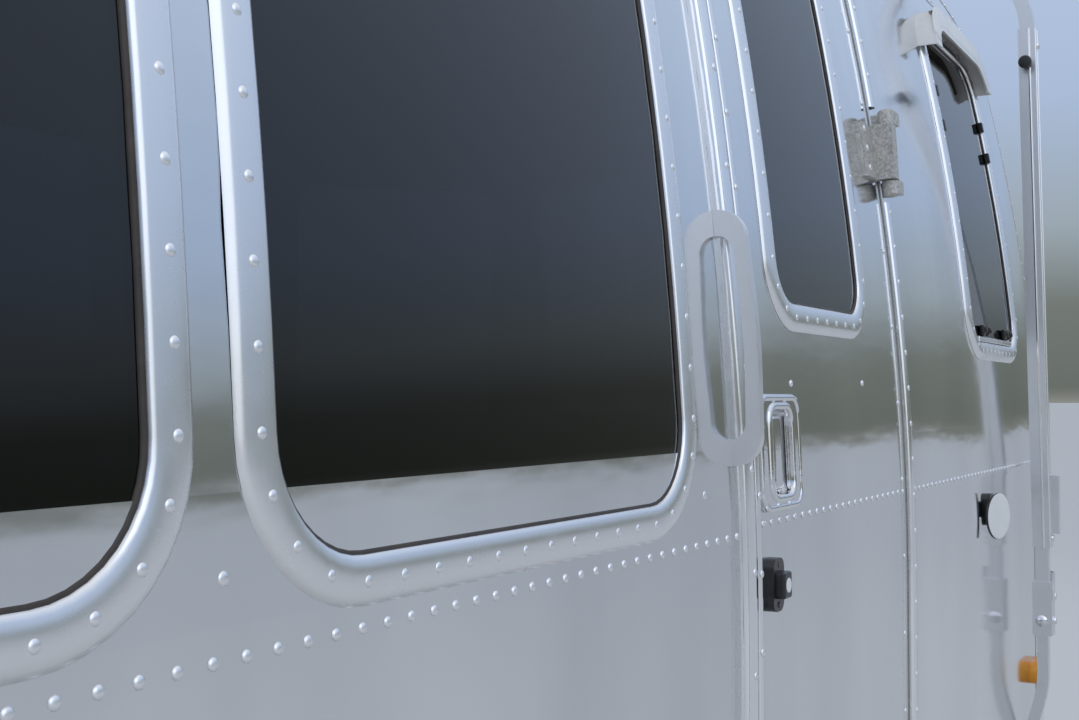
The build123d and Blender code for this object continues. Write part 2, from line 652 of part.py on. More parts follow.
def make_hinges():
    leaves, brackets = [], []
    x0, x1 = HINGE_X - 200, HINGE_X + 200
    wall = on_right_skin(WALL_BOTTOM, EAVE_Z, -SURROUND_T, WALL, x0, x1)
    door = on_right_skin(WALL_BOTTOM, EAVE_Z, 0, WALL, x0, x1)
    leaf_skin = on_right_skin(WALL_BOTTOM, EAVE_Z, -LEAF_T, 0, x0, x1)
    top = KNUCKLE_HALF + KNUCKLE_GAP + OUTER_KNUCKLE
    for pin_z, out in ((LOW_HINGE_Z, LOW_HINGE_OUT), (HIGH_HINGE_Z, HIGH_HINGE_OUT)):
        place = on_pin(PIN_LOW + PIN_DIR * ((pin_z - LOW_HINGE_Z) / PIN_DIR.Z))
        deep = out + 12
        knuckle = Cylinder(KNUCKLE_R, 2 * KNUCKLE_HALF)
        knuckle += block(-24, -5, -KNUCKLE_R, deep, -KNUCKLE_HALF, KNUCKLE_HALF)
        knuckle += block(-12, 0, -KNUCKLE_R, 8, -KNUCKLE_HALF, KNUCKLE_HALF)
        plate = block(-LEAF_REACH, -5, 0, deep, -KNUCKLE_HALF, KNUCKLE_HALF)
        leaf = place * (knuckle - Cylinder(PIN_R + FIT, 2 * KNUCKLE_HALF + 2)) - door
        leaves.append(leaf + (place * plate & leaf_skin))
        bracket = Cylinder(PIN_R, 2 * top)
        for middle in (top - OUTER_KNUCKLE / 2, OUTER_KNUCKLE / 2 - top):
            low, high = middle - OUTER_KNUCKLE / 2, middle + OUTER_KNUCKLE / 2
            bracket += Pos(0, 0, middle) * Cylinder(KNUCKLE_R, OUTER_KNUCKLE)
            bracket += block(0, 13, -KNUCKLE_R, 8, low, high) + block(6, 24, -KNUCKLE_R, deep, low, high)
        brackets.append(place * bracket - wall)
    nodes["door_hinge_leaves"] = Compound(leaves)
    nodes["door_hinge_brackets"] = Compound(brackets)


# Awning: a roller carried by two straight arms whose tops curve in to it, each on a bent foot tube
ARM_XS = (HINGE_X + 910, -1820)
ARM_W = 30
ARM_D = 34
ARM_Z = (BELT_Z - 170, HEAD_Z + 66)
ARM_OUTER_Y = (-SKIN_Y - 63, -SKIN_Y - 43)
NECK_W = 22
NECK_D = 28
NECK_R = 175
ROLLER_R = 34
TUBE_Y = ARM_OUTER_Y[0] + ARM_D / 2
FOOT_PATH = ((TUBE_Y, BELT_Z - 340), (TUBE_Y, BELT_Z - 460), (-SKIN_Y - 14, BELT_Z - 570),
             (-SKIN_Y - 14, WALL_BOTTOM + 40))


def make_awning():
    low, high = ARM_Z
    neck_y = ARM_OUTER_Y[1] + ARM_D / 2
    roller = (neck_y + NECK_R, high + NECK_R)
    x0, x1 = ARM_XS[1] + ARM_W / 2 + 2, ARM_XS[0] - ARM_W / 2 - 2
    nodes["awning_roller"] = rod((x0 - 1.9, *roller), (x1 + 1.9, *roller), ROLLER_R)
    bar = Polyline((ARM_OUTER_Y[0], low), (ARM_OUTER_Y[1], high), (ARM_OUTER_Y[1] + ARM_D, high),
                   (ARM_OUTER_Y[0] + ARM_D, low), close=True)
    arms = []
    for x in ARM_XS:
        a0, a1 = x - ARM_W / 2, x + ARM_W / 2
        upright = Plane(origin=(a0, 0, 0), x_dir=(0, 1, 0), z_dir=FORWARD)
        arm = extrude(upright * make_face(bar), ARM_W)
        arm += block(a0 + 4, a1 - 4, TUBE_Y - 13, TUBE_Y + 13, low - 70, low + 5)
        arm += block(a0 - 6, a1 + 6, TUBE_Y - 20, TUBE_Y + 18, low - 180, low - 70)
        neck = Plane(origin=(x, neck_y, high - 5), z_dir=(0, 0, 1)) * Rectangle(NECK_W, NECK_D)
        arm += extrude(neck, 5)
        arm += revolve(Pos(0, 0, 5) * neck, Axis((x, neck_y + NECK_R, high), (1, 0, 0)), -90)
        arm += rod((a0, *roller), (a1, *roller), ROLLER_R + 9)
        path = FilletPolyline(*[(x, y, z) for y, z in FOOT_PATH], radius=250)
        arm += sweep(Plane(origin=path @ 0, x_dir=FORWARD, z_dir=path % 0) * Rectangle(24, 22), path=path)
        arm += block(a0 - 10, a1 + 10, -SKIN_Y - 20, -SKIN_Y, WALL_BOTTOM + 30, WALL_BOTTOM + 90)
        arm += block(x - 9, x + 9, -CURB_REACH, ARM_OUTER_Y[0] + 10, low + 30, low + 150)
        arms.append(arm)
    nodes["awning_arms"] = Compound([arm - corner_skin() for arm in arms])


def corner_skin():
    """The outer skin round the front right corner and along the right side, to seat what stands on it."""
    solid = half_section(0) & (Pos(500, 1700) * Rectangle(1000, 2400))
    side = along_side(solid, -1, -HALF_X, HALF_X)
    return side + revolve(standing(solid, HALF_X, -HALF_Y, -90), Axis((HALF_X, -HALF_Y, 0), (0, 0, 1)), 40)


# Roof fittings
VENT_X = -1700
VENT_SIZE = 420
VENT_RIM = 30
VENT_H = 45
LID_GAP = 5


# Air conditioner: a long low shroud with a sloping nose, a flared foot, and louvres along both sides
AC_X = (-320, 720)
AC_HALF = 340
AC_TOP = 250
LOUVRES = 9
LOUVRE_STEP = 46
LOUVRE_W = 18


def make_air_conditioner():
    rear, front = AC_X
    side_view = [(front, 0), (front - 60, 90), (front - 330, AC_TOP), (rear + 70, AC_TOP), (rear + 10, 60),
                 (rear, 0)]
    upright = Plane(origin=(0, AC_HALF, ROOF_Z), x_dir=FORWARD, z_dir=(0, -1, 0))
    shroud = extrude(upright * rounded_face(side_view, [0, 60, 160, 70, 60, 0]), 2 * AC_HALF)
    foot, brow = (AC_HALF - 20, 60), (AC_HALF - 70, AC_TOP + 1)
    end_view = [(AC_HALF, 0), foot, brow, (-brow[0], brow[1]), (-foot[0], foot[1]), (-AC_HALF, 0)]
    across = Plane(origin=(rear, 0, ROOF_Z), x_dir=(0, 1, 0), z_dir=FORWARD)
    shroud = shroud & extrude(across * rounded_face(end_view, [0, 60, 80, 80, 60, 0]), front - rear)
    for index in range(LOUVRES):
        x = rear + 110 + index * LOUVRE_STEP
        for side in SIDES.values():
            y0, y1 = sorted((side * (AC_HALF - 62), side * (AC_HALF + 10)))
            shroud -= block(x, x + LOUVRE_W, y0, y1, ROOF_Z + 70, ROOF_Z + 165)
    nodes["air_conditioner"] = shroud


def make_roof_fittings():
    make_air_conditioner()
    half = VENT_SIZE / 2
    ring = block(VENT_X - half, VENT_X + half, -half, half, ROOF_Z, ROOF_Z + VENT_H)
    hole = half - VENT_RIM
    ring -= block(VENT_X - hole, VENT_X + hole, -hole, hole, ROOF_Z - 1, ROOF_Z + VENT_H + 1)
    pin_x, pin_z = VENT_X - half - 18, ROOF_Z + VENT_H + 12
    for y in (-120, 120):
        for y0 in (y - 26, y + 16):
            ring += block(pin_x - 9, pin_x + 9, y0, y0 + 10, ROOF_Z + 10, pin_z)
            ring += block(pin_x, VENT_X - half, y0, y0 + 10, ROOF_Z + 10, ROOF_Z + VENT_H)
            ring += rod((pin_x, y0, pin_z), (pin_x, y0 + 10, pin_z), 9)
        ring += rod((pin_x, y - 20, pin_z), (pin_x, y + 20, pin_z), HATCH_PIN_R)
    nodes["vent_frame"] = ring
    low = Pos(VENT_X, 0, ROOF_Z + VENT_H + LID_GAP) * RectangleRounded(VENT_SIZE + 6, VENT_SIZE + 6, 40)
    top = Pos(VENT_X, 0, ROOF_Z + VENT_H + LID_GAP + 45)
    high = top * RectangleRounded(VENT_SIZE - 60, VENT_SIZE - 60, 60)
    lid = loft([low.face(), high.face()])
    for y in (-120, 120):
        lug = rod((pin_x, y - 13, pin_z), (pin_x, y + 13, pin_z), 9)
        lug += block(pin_x, VENT_X - half + 12, y - 13, y + 13, pin_z - 6, pin_z + 9)
        lid += lug - rod((pin_x, y - 14, pin_z), (pin_x, y + 14, pin_z), HATCH_PIN_R + 0.1)
    for y in (-120, 120):
        lid -= rod((pin_x, y - 14, pin_z), (pin_x, y + 14, pin_z), HATCH_PIN_R + 0.1)
    nodes["vent_lid"] = lid


# Hatch lids, each hung on two pins along its upper edge
def make_hatches():
    half, low, high = REAR_HATCH["half_width"], REAR_HATCH["low"], REAR_HATCH["high"]
    pin_x, pin_z = -SKIN_X - HATCH_PIN_OUT, high + 3
    lid = block(-SKIN_X, -SKIN_X + WALL, -half, half, low, high - 3)
    ears = []
    for y in (-200, 200):
        lid += rod((pin_x, y - 18, pin_z), (pin_x, y + 18, pin_z), 9)
        lid += block(pin_x - 4, -SKIN_X, y - 18, y + 18, high - 40, pin_z)
        lid -= rod((pin_x, y - 19, pin_z), (pin_x, y + 19, pin_z), HATCH_PIN_R + 0.1)
        ear = rod((pin_x, y - 34, pin_z), (pin_x, y + 34, pin_z), HATCH_PIN_R)
        for y0 in (y - 34, y + 22):
            ear += rod((pin_x, y0, pin_z), (pin_x, y0 + 12, pin_z), 9)
            ear += block(pin_x - 4, -SKIN_X, y0, y0 + 12, high + HATCH_GAP + 1, high + 34)
        ears.append(ear)
    lid += rod((-SKIN_X, 0, low + 50), (-SKIN_X - 16, 0, low + 50), 34)
    nodes["rear_hatch"] = lid
    x0, x1, low, high = SIDE_HATCH["x0"], SIDE_HATCH["x1"], SIDE_HATCH["low"], SIDE_HATCH["high"]
    pin_y, pin_z = SKIN_Y + 6, high + 3
    lid = block(x0, x1, SKIN_Y - WALL, SKIN_Y, low, high - 3)
    for x in (x0 + 110, x1 - 110):
        lid += rod((x - 18, pin_y, pin_z), (x + 18, pin_y, pin_z), 6)
        lid += block(x - 18, x + 18, SKIN_Y, pin_y + 4, high - 40, pin_z)
        lid -= rod((x - 19, pin_y, pin_z), (x + 19, pin_y, pin_z), 3.1)
        ear = rod((x - 34, pin_y, pin_z), (x + 34, pin_y, pin_z), 3)
        for start in (x - 34, x + 22):
            ear += rod((start, pin_y, pin_z), (start + 12, pin_y, pin_z), 6)
            ear += block(start, start + 12, SKIN_Y, pin_y + 4, high + HATCH_GAP + 1, high + 34)
        ears.append(ear)
    nodes["side_hatch"] = lid
    nodes["hatch_hinges"] = Compound(ears)


# Lamps at the rear, clearance lamps round the eaves of both ends, and side markers
TAIL_Y = 760
LAMP_R = 60
TAIL_ZS = (800, 960)


def end_skin(end):
    solid = half_section(0) & (Pos(500, 1500) * Rectangle(1000, 2900))
    return round_end(solid, end)


def make_lamps():
    rear_body, front_body = end_skin(-1), end_skin(1)
    bezels, red, amber = [], [], []
    for side in (-1, 1):
        direction = Vector(-cos(radians(26)), side * sin(radians(26)), 0)
        centre = Vector(-HALF_X, side * HALF_Y, 0) + direction * (CORNER_R - 10)
        plane = Plane(origin=centre + Vector(0, 0, sum(TAIL_ZS) / 2), x_dir=(0, 0, 1), z_dir=direction)
        bezel = extrude(plane * RectangleRounded(340, 170, 80), 60)
        for z in TAIL_ZS:
            spot = Plane(origin=centre + Vector(0, 0, z), x_dir=(0, 0, 1), z_dir=direction)
            bezel -= extrude(spot * Circle(LAMP_R), 90)
            red.append(extrude(spot * Circle(LAMP_R), 50) - rear_body)
        bezels.append(bezel - rear_body)
    for y in (-170, 0, 170, -620, 620):
        red.append(clearance_lamp(y, -1) - rear_body)
        amber.append(clearance_lamp(y, 1) - front_body)
    for end, group in ((1, amber), (-1, red)):
        for side in (-1, 1):
            marker = rounded_prism(end * MARKER_X, 0, side * 90, 100, MARKER_Z - 24, MARKER_Z + 24, 22,
                                   SKIN_Y - 30, SKIN_Y + 24)
            group.append(marker - block(-MARKER_X - 60, MARKER_X + 60, -SKIN_Y, SKIN_Y, 0, BELT_Z))
    nodes["tail_lamp_bezels"] = Compound(bezels)
    nodes["lamp_lenses_red"] = Compound(red)
    nodes["lamp_lenses_amber"] = Compound(amber)


MARKER_Z = BELT_Z - 455
MARKER_X = 2600
CLEARANCE_Z = 2470


def clearance_lamp(y, end):
    """A small lamp pointing level out of the dome's shoulder."""
    inset = max(0, abs(y) - HALF_Y)
    rise = (CLEARANCE_Z - SHOULDER_CENTRE[1]) / SHOULDER_R
    radius = SHOULDER_CENTRE[0] + SHOULDER_R * cos(asin(rise))
    x = HALF_X + (radius ** 2 - inset ** 2) ** 0.5
    x0, x1 = sorted((end * (x - 70), end * (x + 26)))
    return block(x0, x1, y - 42, y + 42, CLEARANCE_Z - 16, CLEARANCE_Z + 16)


def make_rub_rails():
    low, high = WALL_BOTTOM - 6, WALL_BOTTOM + 16
    ring = extrude(Pos(0, 0, WALL_BOTTOM) * (
        RectangleRounded(BODY_LENGTH + 24, BODY_WIDTH + 24, CORNER_R + 12)
        - RectangleRounded(BODY_LENGTH, BODY_WIDTH, CORNER_R)), high - low)
    for side in (-1, 1):
        ring -= arch_prism(side, 0, 1100, 1300)
        trim = arch_prism(side, 28, SKIN_Y, SKIN_Y + 10) - arch_prism(side, 0, SKIN_Y - 1, SKIN_Y + 12)
        ring += trim & block(-3000, 3000, -1300, 1300, WALL_BOTTOM, 1000)
    x = HINGE_X + DOOR_GAP / 2 + 22
    ring -= block(SURROUND_X0, x, -1300, -1200, 300, WALL_BOTTOM + 60)
    nodes["rub_rails"] = ring


# Pull-out entry step on two rods that slide in guides below the pan
STEP_X = (HINGE_X - 560, HINGE_X - 60)
STEP_Z = 330
STEP_ROD_R = 13
STEP_TRAVEL = 280


def make_step():
    x0, x1 = STEP_X
    tray = block(x0, x1, -1235, -975, STEP_Z - 14, STEP_Z + 14)
    tray = fillet(tray.edges().filter_by(Axis.Z).group_by(Axis.Y)[0], 30)
    guides = []
    for x in (x0 + 70, x1 - 70):
        tray += rod((x, -980, STEP_Z), (x, -320, STEP_Z), STEP_ROD_R)
        guide = block(x - 26, x + 26, -900, -630, STEP_Z - 26, PAN_BOTTOM)
        guides.append(guide - rod((x, -901, STEP_Z), (x, -629, STEP_Z), STEP_ROD_R + FIT))
    nodes["entry_step"] = tray
    return guides


# Corner steadies, folded up along the chassis and swung down to the ground
STEADY_LENGTH = 430
STEADY_DROP = 50
STEADY_PIN_R = 8
STEADY_Z = 356
STEADIES = {"front_left": (2650, 1, -1), "front_right": (2650, -1, -1),
            "rear_left": (-2950, 1, 1), "rear_right": (-2950, -1, 1)}
STEADY_Y = 700


def make_steadies():
    brackets = make_step()
    for name, (x, side, way) in STEADIES.items():
        y = side * STEADY_Y
        pin = Vector(x, y, STEADY_Z)
        leg = rod((x, y - 20, STEADY_Z), (x, y + 20, STEADY_Z), 20)
        leg += block(*sorted((x, x + way * STEADY_LENGTH)), y - 20, y + 20, STEADY_Z - 14, STEADY_Z + 14)
        tip = Vector(x + way * STEADY_LENGTH, y, STEADY_Z)
        foot_normal = (-way * sin(radians(STEADY_DROP)), 0, cos(radians(STEADY_DROP)))
        foot_plane = Plane(origin=tip, x_dir=(0, 1, 0), z_dir=foot_normal)
        leg += extrude(foot_plane * Rectangle(110, 70), 5, both=True)
        leg -= rod((x, y - 21, STEADY_Z), (x, y + 21, STEADY_Z), STEADY_PIN_R + FIT)
        nodes[f"steady_{name}"] = leg
        bracket = block(x - 34, x + 34, y - 34, y + 34, PAN_BOTTOM - 8, PAN_BOTTOM)
        for y0 in (y - 32, y + 22):
            bracket += block(x - 26, x + 26, y0, y0 + 10, STEADY_Z - 24, PAN_BOTTOM - 8)
        bracket += rod((x, y - 30, STEADY_Z), (x, y + 30, STEADY_Z), STEADY_PIN_R)
        brackets.append(bracket)
    nodes["underframe_brackets"] = Compound(brackets)


# Built-in furniture that shows through the glass and the open door
def make_furniture():
    galley = block(-350, 850, 720, SKIN_Y - WALL, FLOOR_TOP, LEAN_Z) - well_block(1, 0, WELL_TOP)
    bed = block(-3230, -1700, -700, 700, FLOOR_TOP, 1080)
    bench = block(2250, 2930, -700, 700, FLOOR_TOP, 1050)
    nodes["furniture"] = Compound([galley.solid(), bed, bench])


make_shell()
make_floor()
make_chassis()
make_coupler()
make_jack()
make_gas_cover()
make_bumper()
make_running_gear()
make_windows()
make_hood()
make_door()
make_hinges()
make_awning()
make_roof_fittings()
make_hatches()
make_lamps()
make_rub_rails()
make_steadies()
make_furniture()

os.makedirs("parts", exist_ok=True)
for node, shape in nodes.items():
    export_step(shape.moved(SHIFT), f"parts/{node}.step")
print(len(nodes), "nodes")
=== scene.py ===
import json
from math import asin, cos, pi, radians, sin

import bmesh
import bpy
import numpy as np
from mathutils import Matrix, Vector


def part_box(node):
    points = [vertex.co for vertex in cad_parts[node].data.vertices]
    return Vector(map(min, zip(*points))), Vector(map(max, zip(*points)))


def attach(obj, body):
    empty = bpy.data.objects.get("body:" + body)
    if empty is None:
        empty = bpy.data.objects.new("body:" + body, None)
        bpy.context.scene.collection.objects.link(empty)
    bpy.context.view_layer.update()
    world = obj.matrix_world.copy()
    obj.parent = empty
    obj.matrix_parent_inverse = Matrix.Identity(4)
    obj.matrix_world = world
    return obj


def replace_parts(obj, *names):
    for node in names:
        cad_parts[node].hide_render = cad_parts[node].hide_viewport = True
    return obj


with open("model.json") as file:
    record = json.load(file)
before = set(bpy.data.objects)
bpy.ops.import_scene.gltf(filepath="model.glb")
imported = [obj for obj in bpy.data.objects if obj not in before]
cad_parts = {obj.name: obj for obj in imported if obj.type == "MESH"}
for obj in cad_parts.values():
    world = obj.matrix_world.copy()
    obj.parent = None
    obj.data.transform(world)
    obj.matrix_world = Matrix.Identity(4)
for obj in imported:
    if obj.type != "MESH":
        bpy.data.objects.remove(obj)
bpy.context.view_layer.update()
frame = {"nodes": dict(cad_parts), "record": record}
nodes = frame["nodes"]

# The body shell's driving sizes, in metres, in the frame's axes: x forward, y to the street side, z up
roof_low, roof_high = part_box("roof")
wall_low, wall_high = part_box("side_left_lower")
MIDDLE_X = (roof_low.x + roof_high.x) / 2
MIDDLE_Y = (roof_low.y + roof_high.y) / 2
HALF_X = (roof_high.x - roof_low.x) / 2
SKIN_Y = wall_high.y - MIDDLE_Y
WALL_BOTTOM = wall_low.z
BELT_Z = wall_high.z
ROOF_Z = roof_high.z
EAVE_Z = BELT_Z + 0.98
CORNER_R = 0.88
HALF_Y = SKIN_Y - CORNER_R
SKIN_X = HALF_X + CORNER_R
LEAN_Z = BELT_Z - 0.13
LEAN_R = 4.4
LEAN_RISE = 1
SHOULDER_R = 0.58
SHOULDER_END = radians(72)
CROWN_R = 1.2
LEAN_END = asin(LEAN_RISE / LEAN_R)

# Windows and door, as in the frame
SILL_LOW = BELT_Z + 0.04
SILL_HIGH = BELT_Z + 0.255
HEAD_Z = BELT_Z + 0.85
HINGE_X = 1.537
DOOR_R = 0.634
DOOR_BOTTOM = 0.505
DOOR_TOP = 2.27
SURROUND_X0 = HINGE_X - 0.697
SURROUND_X1 = HINGE_X + 0.025

# Camera solved from the photograph
CAMERA_AT = Vector((-1.01, -1.744, 1.501))
CAMERA_YAW = radians(29.7)
CAMERA_PITCH = radians(1.6)
FOCAL_PX = 1345
PHOTO_WIDTH = 1079
SENSOR_MM = 36

UP = Vector((0, 0, 1))


def hull(x, y, z):
    """A place in the frame, from distances off the middle of the body and a height."""
    return Vector((MIDDLE_X + x, MIDDLE_Y + y, z))


def section_arcs():
    """Centre, radius and last tilt of each arc over the upright wall, each smooth with the one before."""
    arcs = []
    across, up, radius, last = CORNER_R, LEAN_Z, 0, 0
    for after, end in ((LEAN_R, LEAN_END), (SHOULDER_R, SHOULDER_END), (CROWN_R, pi / 2)):
        across += (radius - after) * cos(last)
        up += (radius - after) * sin(last)
        radius, last = after, end
        arcs.append((across, up, radius, last))
    return arcs


# Places on the skin. A ray is a point in plan and the level direction that the skin's normal has there.
ARCS = section_arcs()


def section_at(z):
    """Distance of the skin from the axis of its corner at a height, and the tilt of its normal."""
    if z <= LEAN_Z:
        return CORNER_R, 0
    for across, up, radius, last in ARCS:
        rise = (z - up) / radius
        if rise <= sin(last):
            tilt = asin(rise)
            return across + radius * cos(tilt), tilt
    return 0, pi / 2


def on_skin(ray, z, out=0):
    """Point at a height, a distance out of the skin, and the skin's normal there."""
    (base_x, base_y), (way_x, way_y) = ray
    reach, tilt = section_at(z)
    reach += out * cos(tilt)
    point = Vector((base_x + way_x * reach, base_y + way_y * reach, z + out * sin(tilt)))
    return point, Vector((way_x * cos(tilt), way_y * cos(tilt), sin(tilt)))


def side_ray(side, x):
    return (MIDDLE_X + x, MIDDLE_Y + side * HALF_Y), (0, side)


def corner_ray(end, side, angle):
    """Ray at a rounded corner, its angle measured from the end's own direction."""
    return (MIDDLE_X + end * HALF_X, MIDDLE_Y + side * HALF_Y), (end * cos(angle), side * sin(angle))


def end_ray(end, y):
    return (MIDDLE_X + end * HALF_X, MIDDLE_Y + y), (end, 0)


# Windows: how a distance along each one maps to a ray, half width, sill, head, corner radius
CORNER_WINDOW_AT = radians(44)
CORNER_WINDOW_HALF = 0.333
END_WINDOW_HALF = 0.48
PANE_R = 0.08
TURN_STEPS = 10
RUN_STEPS = 10


def side_window(side, rear, front, sill=SILL_LOW, radius=PANE_R, head=HEAD_Z):
    middle = (rear + front) / 2
    return (lambda t, z: side_ray(side, middle + t)), (front - rear) / 2, sill, head, radius


def corner_window(end, side):
    def ray(t, z):
        return corner_ray(end, side, CORNER_WINDOW_AT + asin(t / section_at(z)[0]))
    return ray, CORNER_WINDOW_HALF, SILL_LOW, HEAD_Z, PANE_R


def end_window(end):
    def ray(t, z):
        past = abs(t) - HALF_Y
        if past <= 0:
            return end_ray(end, t)
        return corner_ray(end, 1 if t > 0 else -1, asin(past / section_at(z)[0]))
    return ray, END_WINDOW_HALF, SILL_LOW, HEAD_Z, PANE_R


HOODED_WINDOW = side_window(-1, 2.075, 2.49, SILL_HIGH - 0.008, 0.06)
NEAR_WINDOWS = [side_window(-1, -0.59, 0.007), side_window(-1, 0.108, 0.708), HOODED_WINDOW,
                side_window(-1, -2.3, -1.56)]
FAR_SPANS = ((-2.3, -1.56), (-0.39, 0.207), (0.308, 0.908), (1.7, 2.44))
FAR_WINDOWS = [side_window(1, *span) for span in FAR_SPANS] + [end_window(end) for end in (1, -1)]
FAR_WINDOWS += [corner_window(end, side) for end in (1, -1) for side in (1, -1)]
WINDOWS = NEAR_WINDOWS + FAR_WINDOWS
DOOR_PANE = side_window(-1, HINGE_X - 0.524, HINGE_X - 0.187, SILL_HIGH, 0.05)


def round_corners(half, radius):
    """Points round a rounded rectangle and the ways out of it there, corner by corner."""
    rows = []
    for across, up, start in ((1, -1, -90), (1, 1, 0), (-1, 1, 90), (-1, -1, 180)):
        for step in range(TURN_STEPS + 1):
            angle = radians(start + 90 * step / TURN_STEPS)
            way = (cos(angle), sin(angle))
            rows.append((across * (half[0] - radius) + radius * way[0],
                         up * (half[1] - radius) + radius * way[1], *way))
    return rows


def outline(window, run_steps=RUN_STEPS):
    """Rows round a window: place along it, height, and the way out of the opening in the wall's own plane."""
    _, half, low, high, radius = window
    turned = round_corners((half, (high - low) / 2), radius)
    middle = (low + high) / 2
    rows = []
    for index, (t, z, *way) in enumerate(turned):
        rows.append((t, middle + z, *way))
        if index % (TURN_STEPS + 1) == TURN_STEPS:
            next_t, next_z = turned[(index + 1) % len(turned)][:2]
            for part in np.linspace(0, 1, run_steps + 1)[1:-1]:
                rows.append((t + (next_t - t) * part, middle + z + (next_z - z) * part, *way))
    return rows


def beside(window, row, grow, out):
    """Point and normal by a row of a window's outline, a distance outward in the wall and out of the skin."""
    t, z, way_t, way_z = row
    high = z + way_z * grow
    return on_skin(window[0](t + way_t * grow, high), high, out)


# Meshes, gathered in piles of points and faces
STRIP_PARTS = 40


def piles(count):
    return [([], []) for _ in range(count)]


def new_mesh(name, verts, faces, smooth=True):
    mesh = bpy.data.meshes.new(name)
    mesh.from_pydata([tuple(v) for v in verts], [], faces)
    mesh.polygons.foreach_set("use_smooth", [smooth] * len(mesh.polygons))
    mesh.update()
    piece = bpy.data.objects.new(name, mesh)
    bpy.context.scene.collection.objects.link(piece)
    return piece


def finish(piece, look, body="caravan"):
    """Give a piece the material of its look, which is a material and its slot, and the body that it moves
    with.
    """
    made, slot = look
    piece.data.materials.append(made)
    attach(piece, body)
    return piece


def add_sheet(pile, rows, closed=False):
    """Equal rows of points, each row joined to the next, and the last to the first where closed."""
    verts, faces = pile
    wide = len(rows[0])
    for index in range(len(rows) if closed else len(rows) - 1):
        for step in range(wide - 1):
            here = len(verts) + index * wide + step
            there = len(verts) + (index + 1) % len(rows) * wide + step
            faces.append((here, there, there + 1, here + 1))
    for row in rows:
        verts += row


def new_sheet(name, rows, smooth=True):
    pile = ([], [])
    add_sheet(pile, rows)
    return new_mesh(name, *pile, smooth)


def window_band(name, windows, profile):
    """A moulding round each window. Profile rows are a distance outward in the wall and out of the skin."""
    pile = ([], [])
    for window in windows:
        rows = [[beside(window, row, grow, out)[0] for grow, out in profile] for row in outline(window)]
        add_sheet(pile, rows, closed=True)
    return new_mesh(name, *pile)


def strip(name, places, section, upright=False):
    """A moulding along the door side. Its section's rows are a distance over the wall and out of the skin."""
    rows = []
    for x, z in places:
        rows.append([on_skin(side_ray(-1, x + over * upright), z + over * (not upright), out)[0]
                     for over, out in section])
    return new_sheet(name, rows)


def upright_strip(name, x, low, high, section):
    return strip(name, [(x, z) for z in np.linspace(low, high, STRIP_PARTS + 1)], section, upright=True)


def wall_frame(side, x, z, out=0):
    """Frame at a place on a side wall: x along it, y up it, z straight out."""
    point, normal = on_skin(side_ray(side, x), z, out)
    along = Vector((-side, 0, 0))
    return Matrix.Translation(point) @ Matrix((along, normal.cross(along), normal)).transposed().to_4x4()


def rear_frame(z):
    """Frame at a height on the middle of the rear wall: x along it, y up it, z straight out."""
    return Matrix.Translation(hull(-SKIN_X, 0, z)) @ Matrix(((0, 0, -1), (-1, 0, 0), (0, 1, 0))).to_4x4()


def facing(point, way):
    """Frame at a point with its z axis along a direction."""
    return Matrix.Translation(point) @ UP.rotation_difference(way).to_matrix().to_4x4()


def lifted(at, *step):
    """A frame moved by a step along its own axes."""
    return at @ Matrix.Translation(step)


def mm(*rows):
    """Rows of millimetres, in metres."""
    return tuple(tuple(value / 1000 for value in row) for row in rows)


# Small solids, added to a pile at a frame
def turns(count):
    return [2 * pi * n / count for n in range(count)]


def add_turned(pile, at, profile, sides=28):
    """Rows of radius and height, turned about a frame's z axis."""
    rows = [[at @ Vector((radius * cos(turn), radius * sin(turn), height)) for radius, height in profile]
            for turn in turns(sides)]
    add_sheet(pile, rows, closed=True)


def add_box(pile, at, low, high, bevel, steps=3):
    """A box between two corners in a frame, with rounded edges."""
    made = bmesh.new()
    bmesh.ops.create_cube(made, size=1)
    size = Vector(high) - Vector(low)
    bmesh.ops.scale(made, vec=size, verts=made.verts)
    bmesh.ops.translate(made, vec=Vector(low) + size / 2, verts=made.verts)
    bmesh.ops.bevel(made, geom=made.edges[:], offset=bevel, segments=steps, profile=0.5, affect="EDGES")
    verts, faces = pile
    start = len(verts)
    made.verts.index_update()
    verts += [at @ vert.co for vert in made.verts]
    faces += [tuple(start + vert.index for vert in face.verts) for face in made.faces]
    made.free()


def add_block(pile, at, low, high, bevel, steps=3):
    """A small box, its measures in millimetres."""
    add_box(pile, at, *mm(low, high), bevel / 1000, steps)


def add_button(pile, at, radius, height, edge=0.3, sides=20):
    """A round head, its measures in millimetres. Its edge is rounded over a share of the height."""
    soft = height * edge
    profile = mm((radius, 0), (radius, height - soft), (radius - 0.3 * soft, height - 0.3 * soft),
                 (radius - soft, height), (radius * 0.02, height))
    add_turned(pile, at, profile, sides)


def build(name, pile, look, body="caravan"):
    piece = finish(new_mesh(name, *pile), look, body)
    weighted = piece.modifiers.new("even_normals", "WEIGHTED_NORMAL")
    weighted.keep_sharp = True
    return piece


# Rivets, as joined low domes
LEVEL_STEP = 0.039
UPRIGHT_STEP = 0.052
FRAME_RIVET_AT = 0.017
FRAME_RIVETS_OUT = 0.006
HOODED_RIVETS_OUT = 0.0082
FINE = {"sides": 14, "rings": 4}
FINEST = {"sides": 16, "rings": 4}


def dome_template(sides, rings):
    verts = []
    for ring in range(rings):
        lift = pi / 2 * ring / rings
        verts += [(cos(turn) * cos(lift), sin(turn) * cos(lift), sin(lift)) for turn in turns(sides)]
    verts.append((0, 0, 1))
    faces = []
    for low in range(0, (rings - 1) * sides, sides):
        for side in range(sides):
            after = (side + 1) % sides
            faces.append((low + side, low + after, low + sides + after, low + sides + side))
    last = (rings - 1) * sides
    faces += [(last + side, last + (side + 1) % sides, len(verts) - 1) for side in range(sides)]
    return np.array(verts), faces


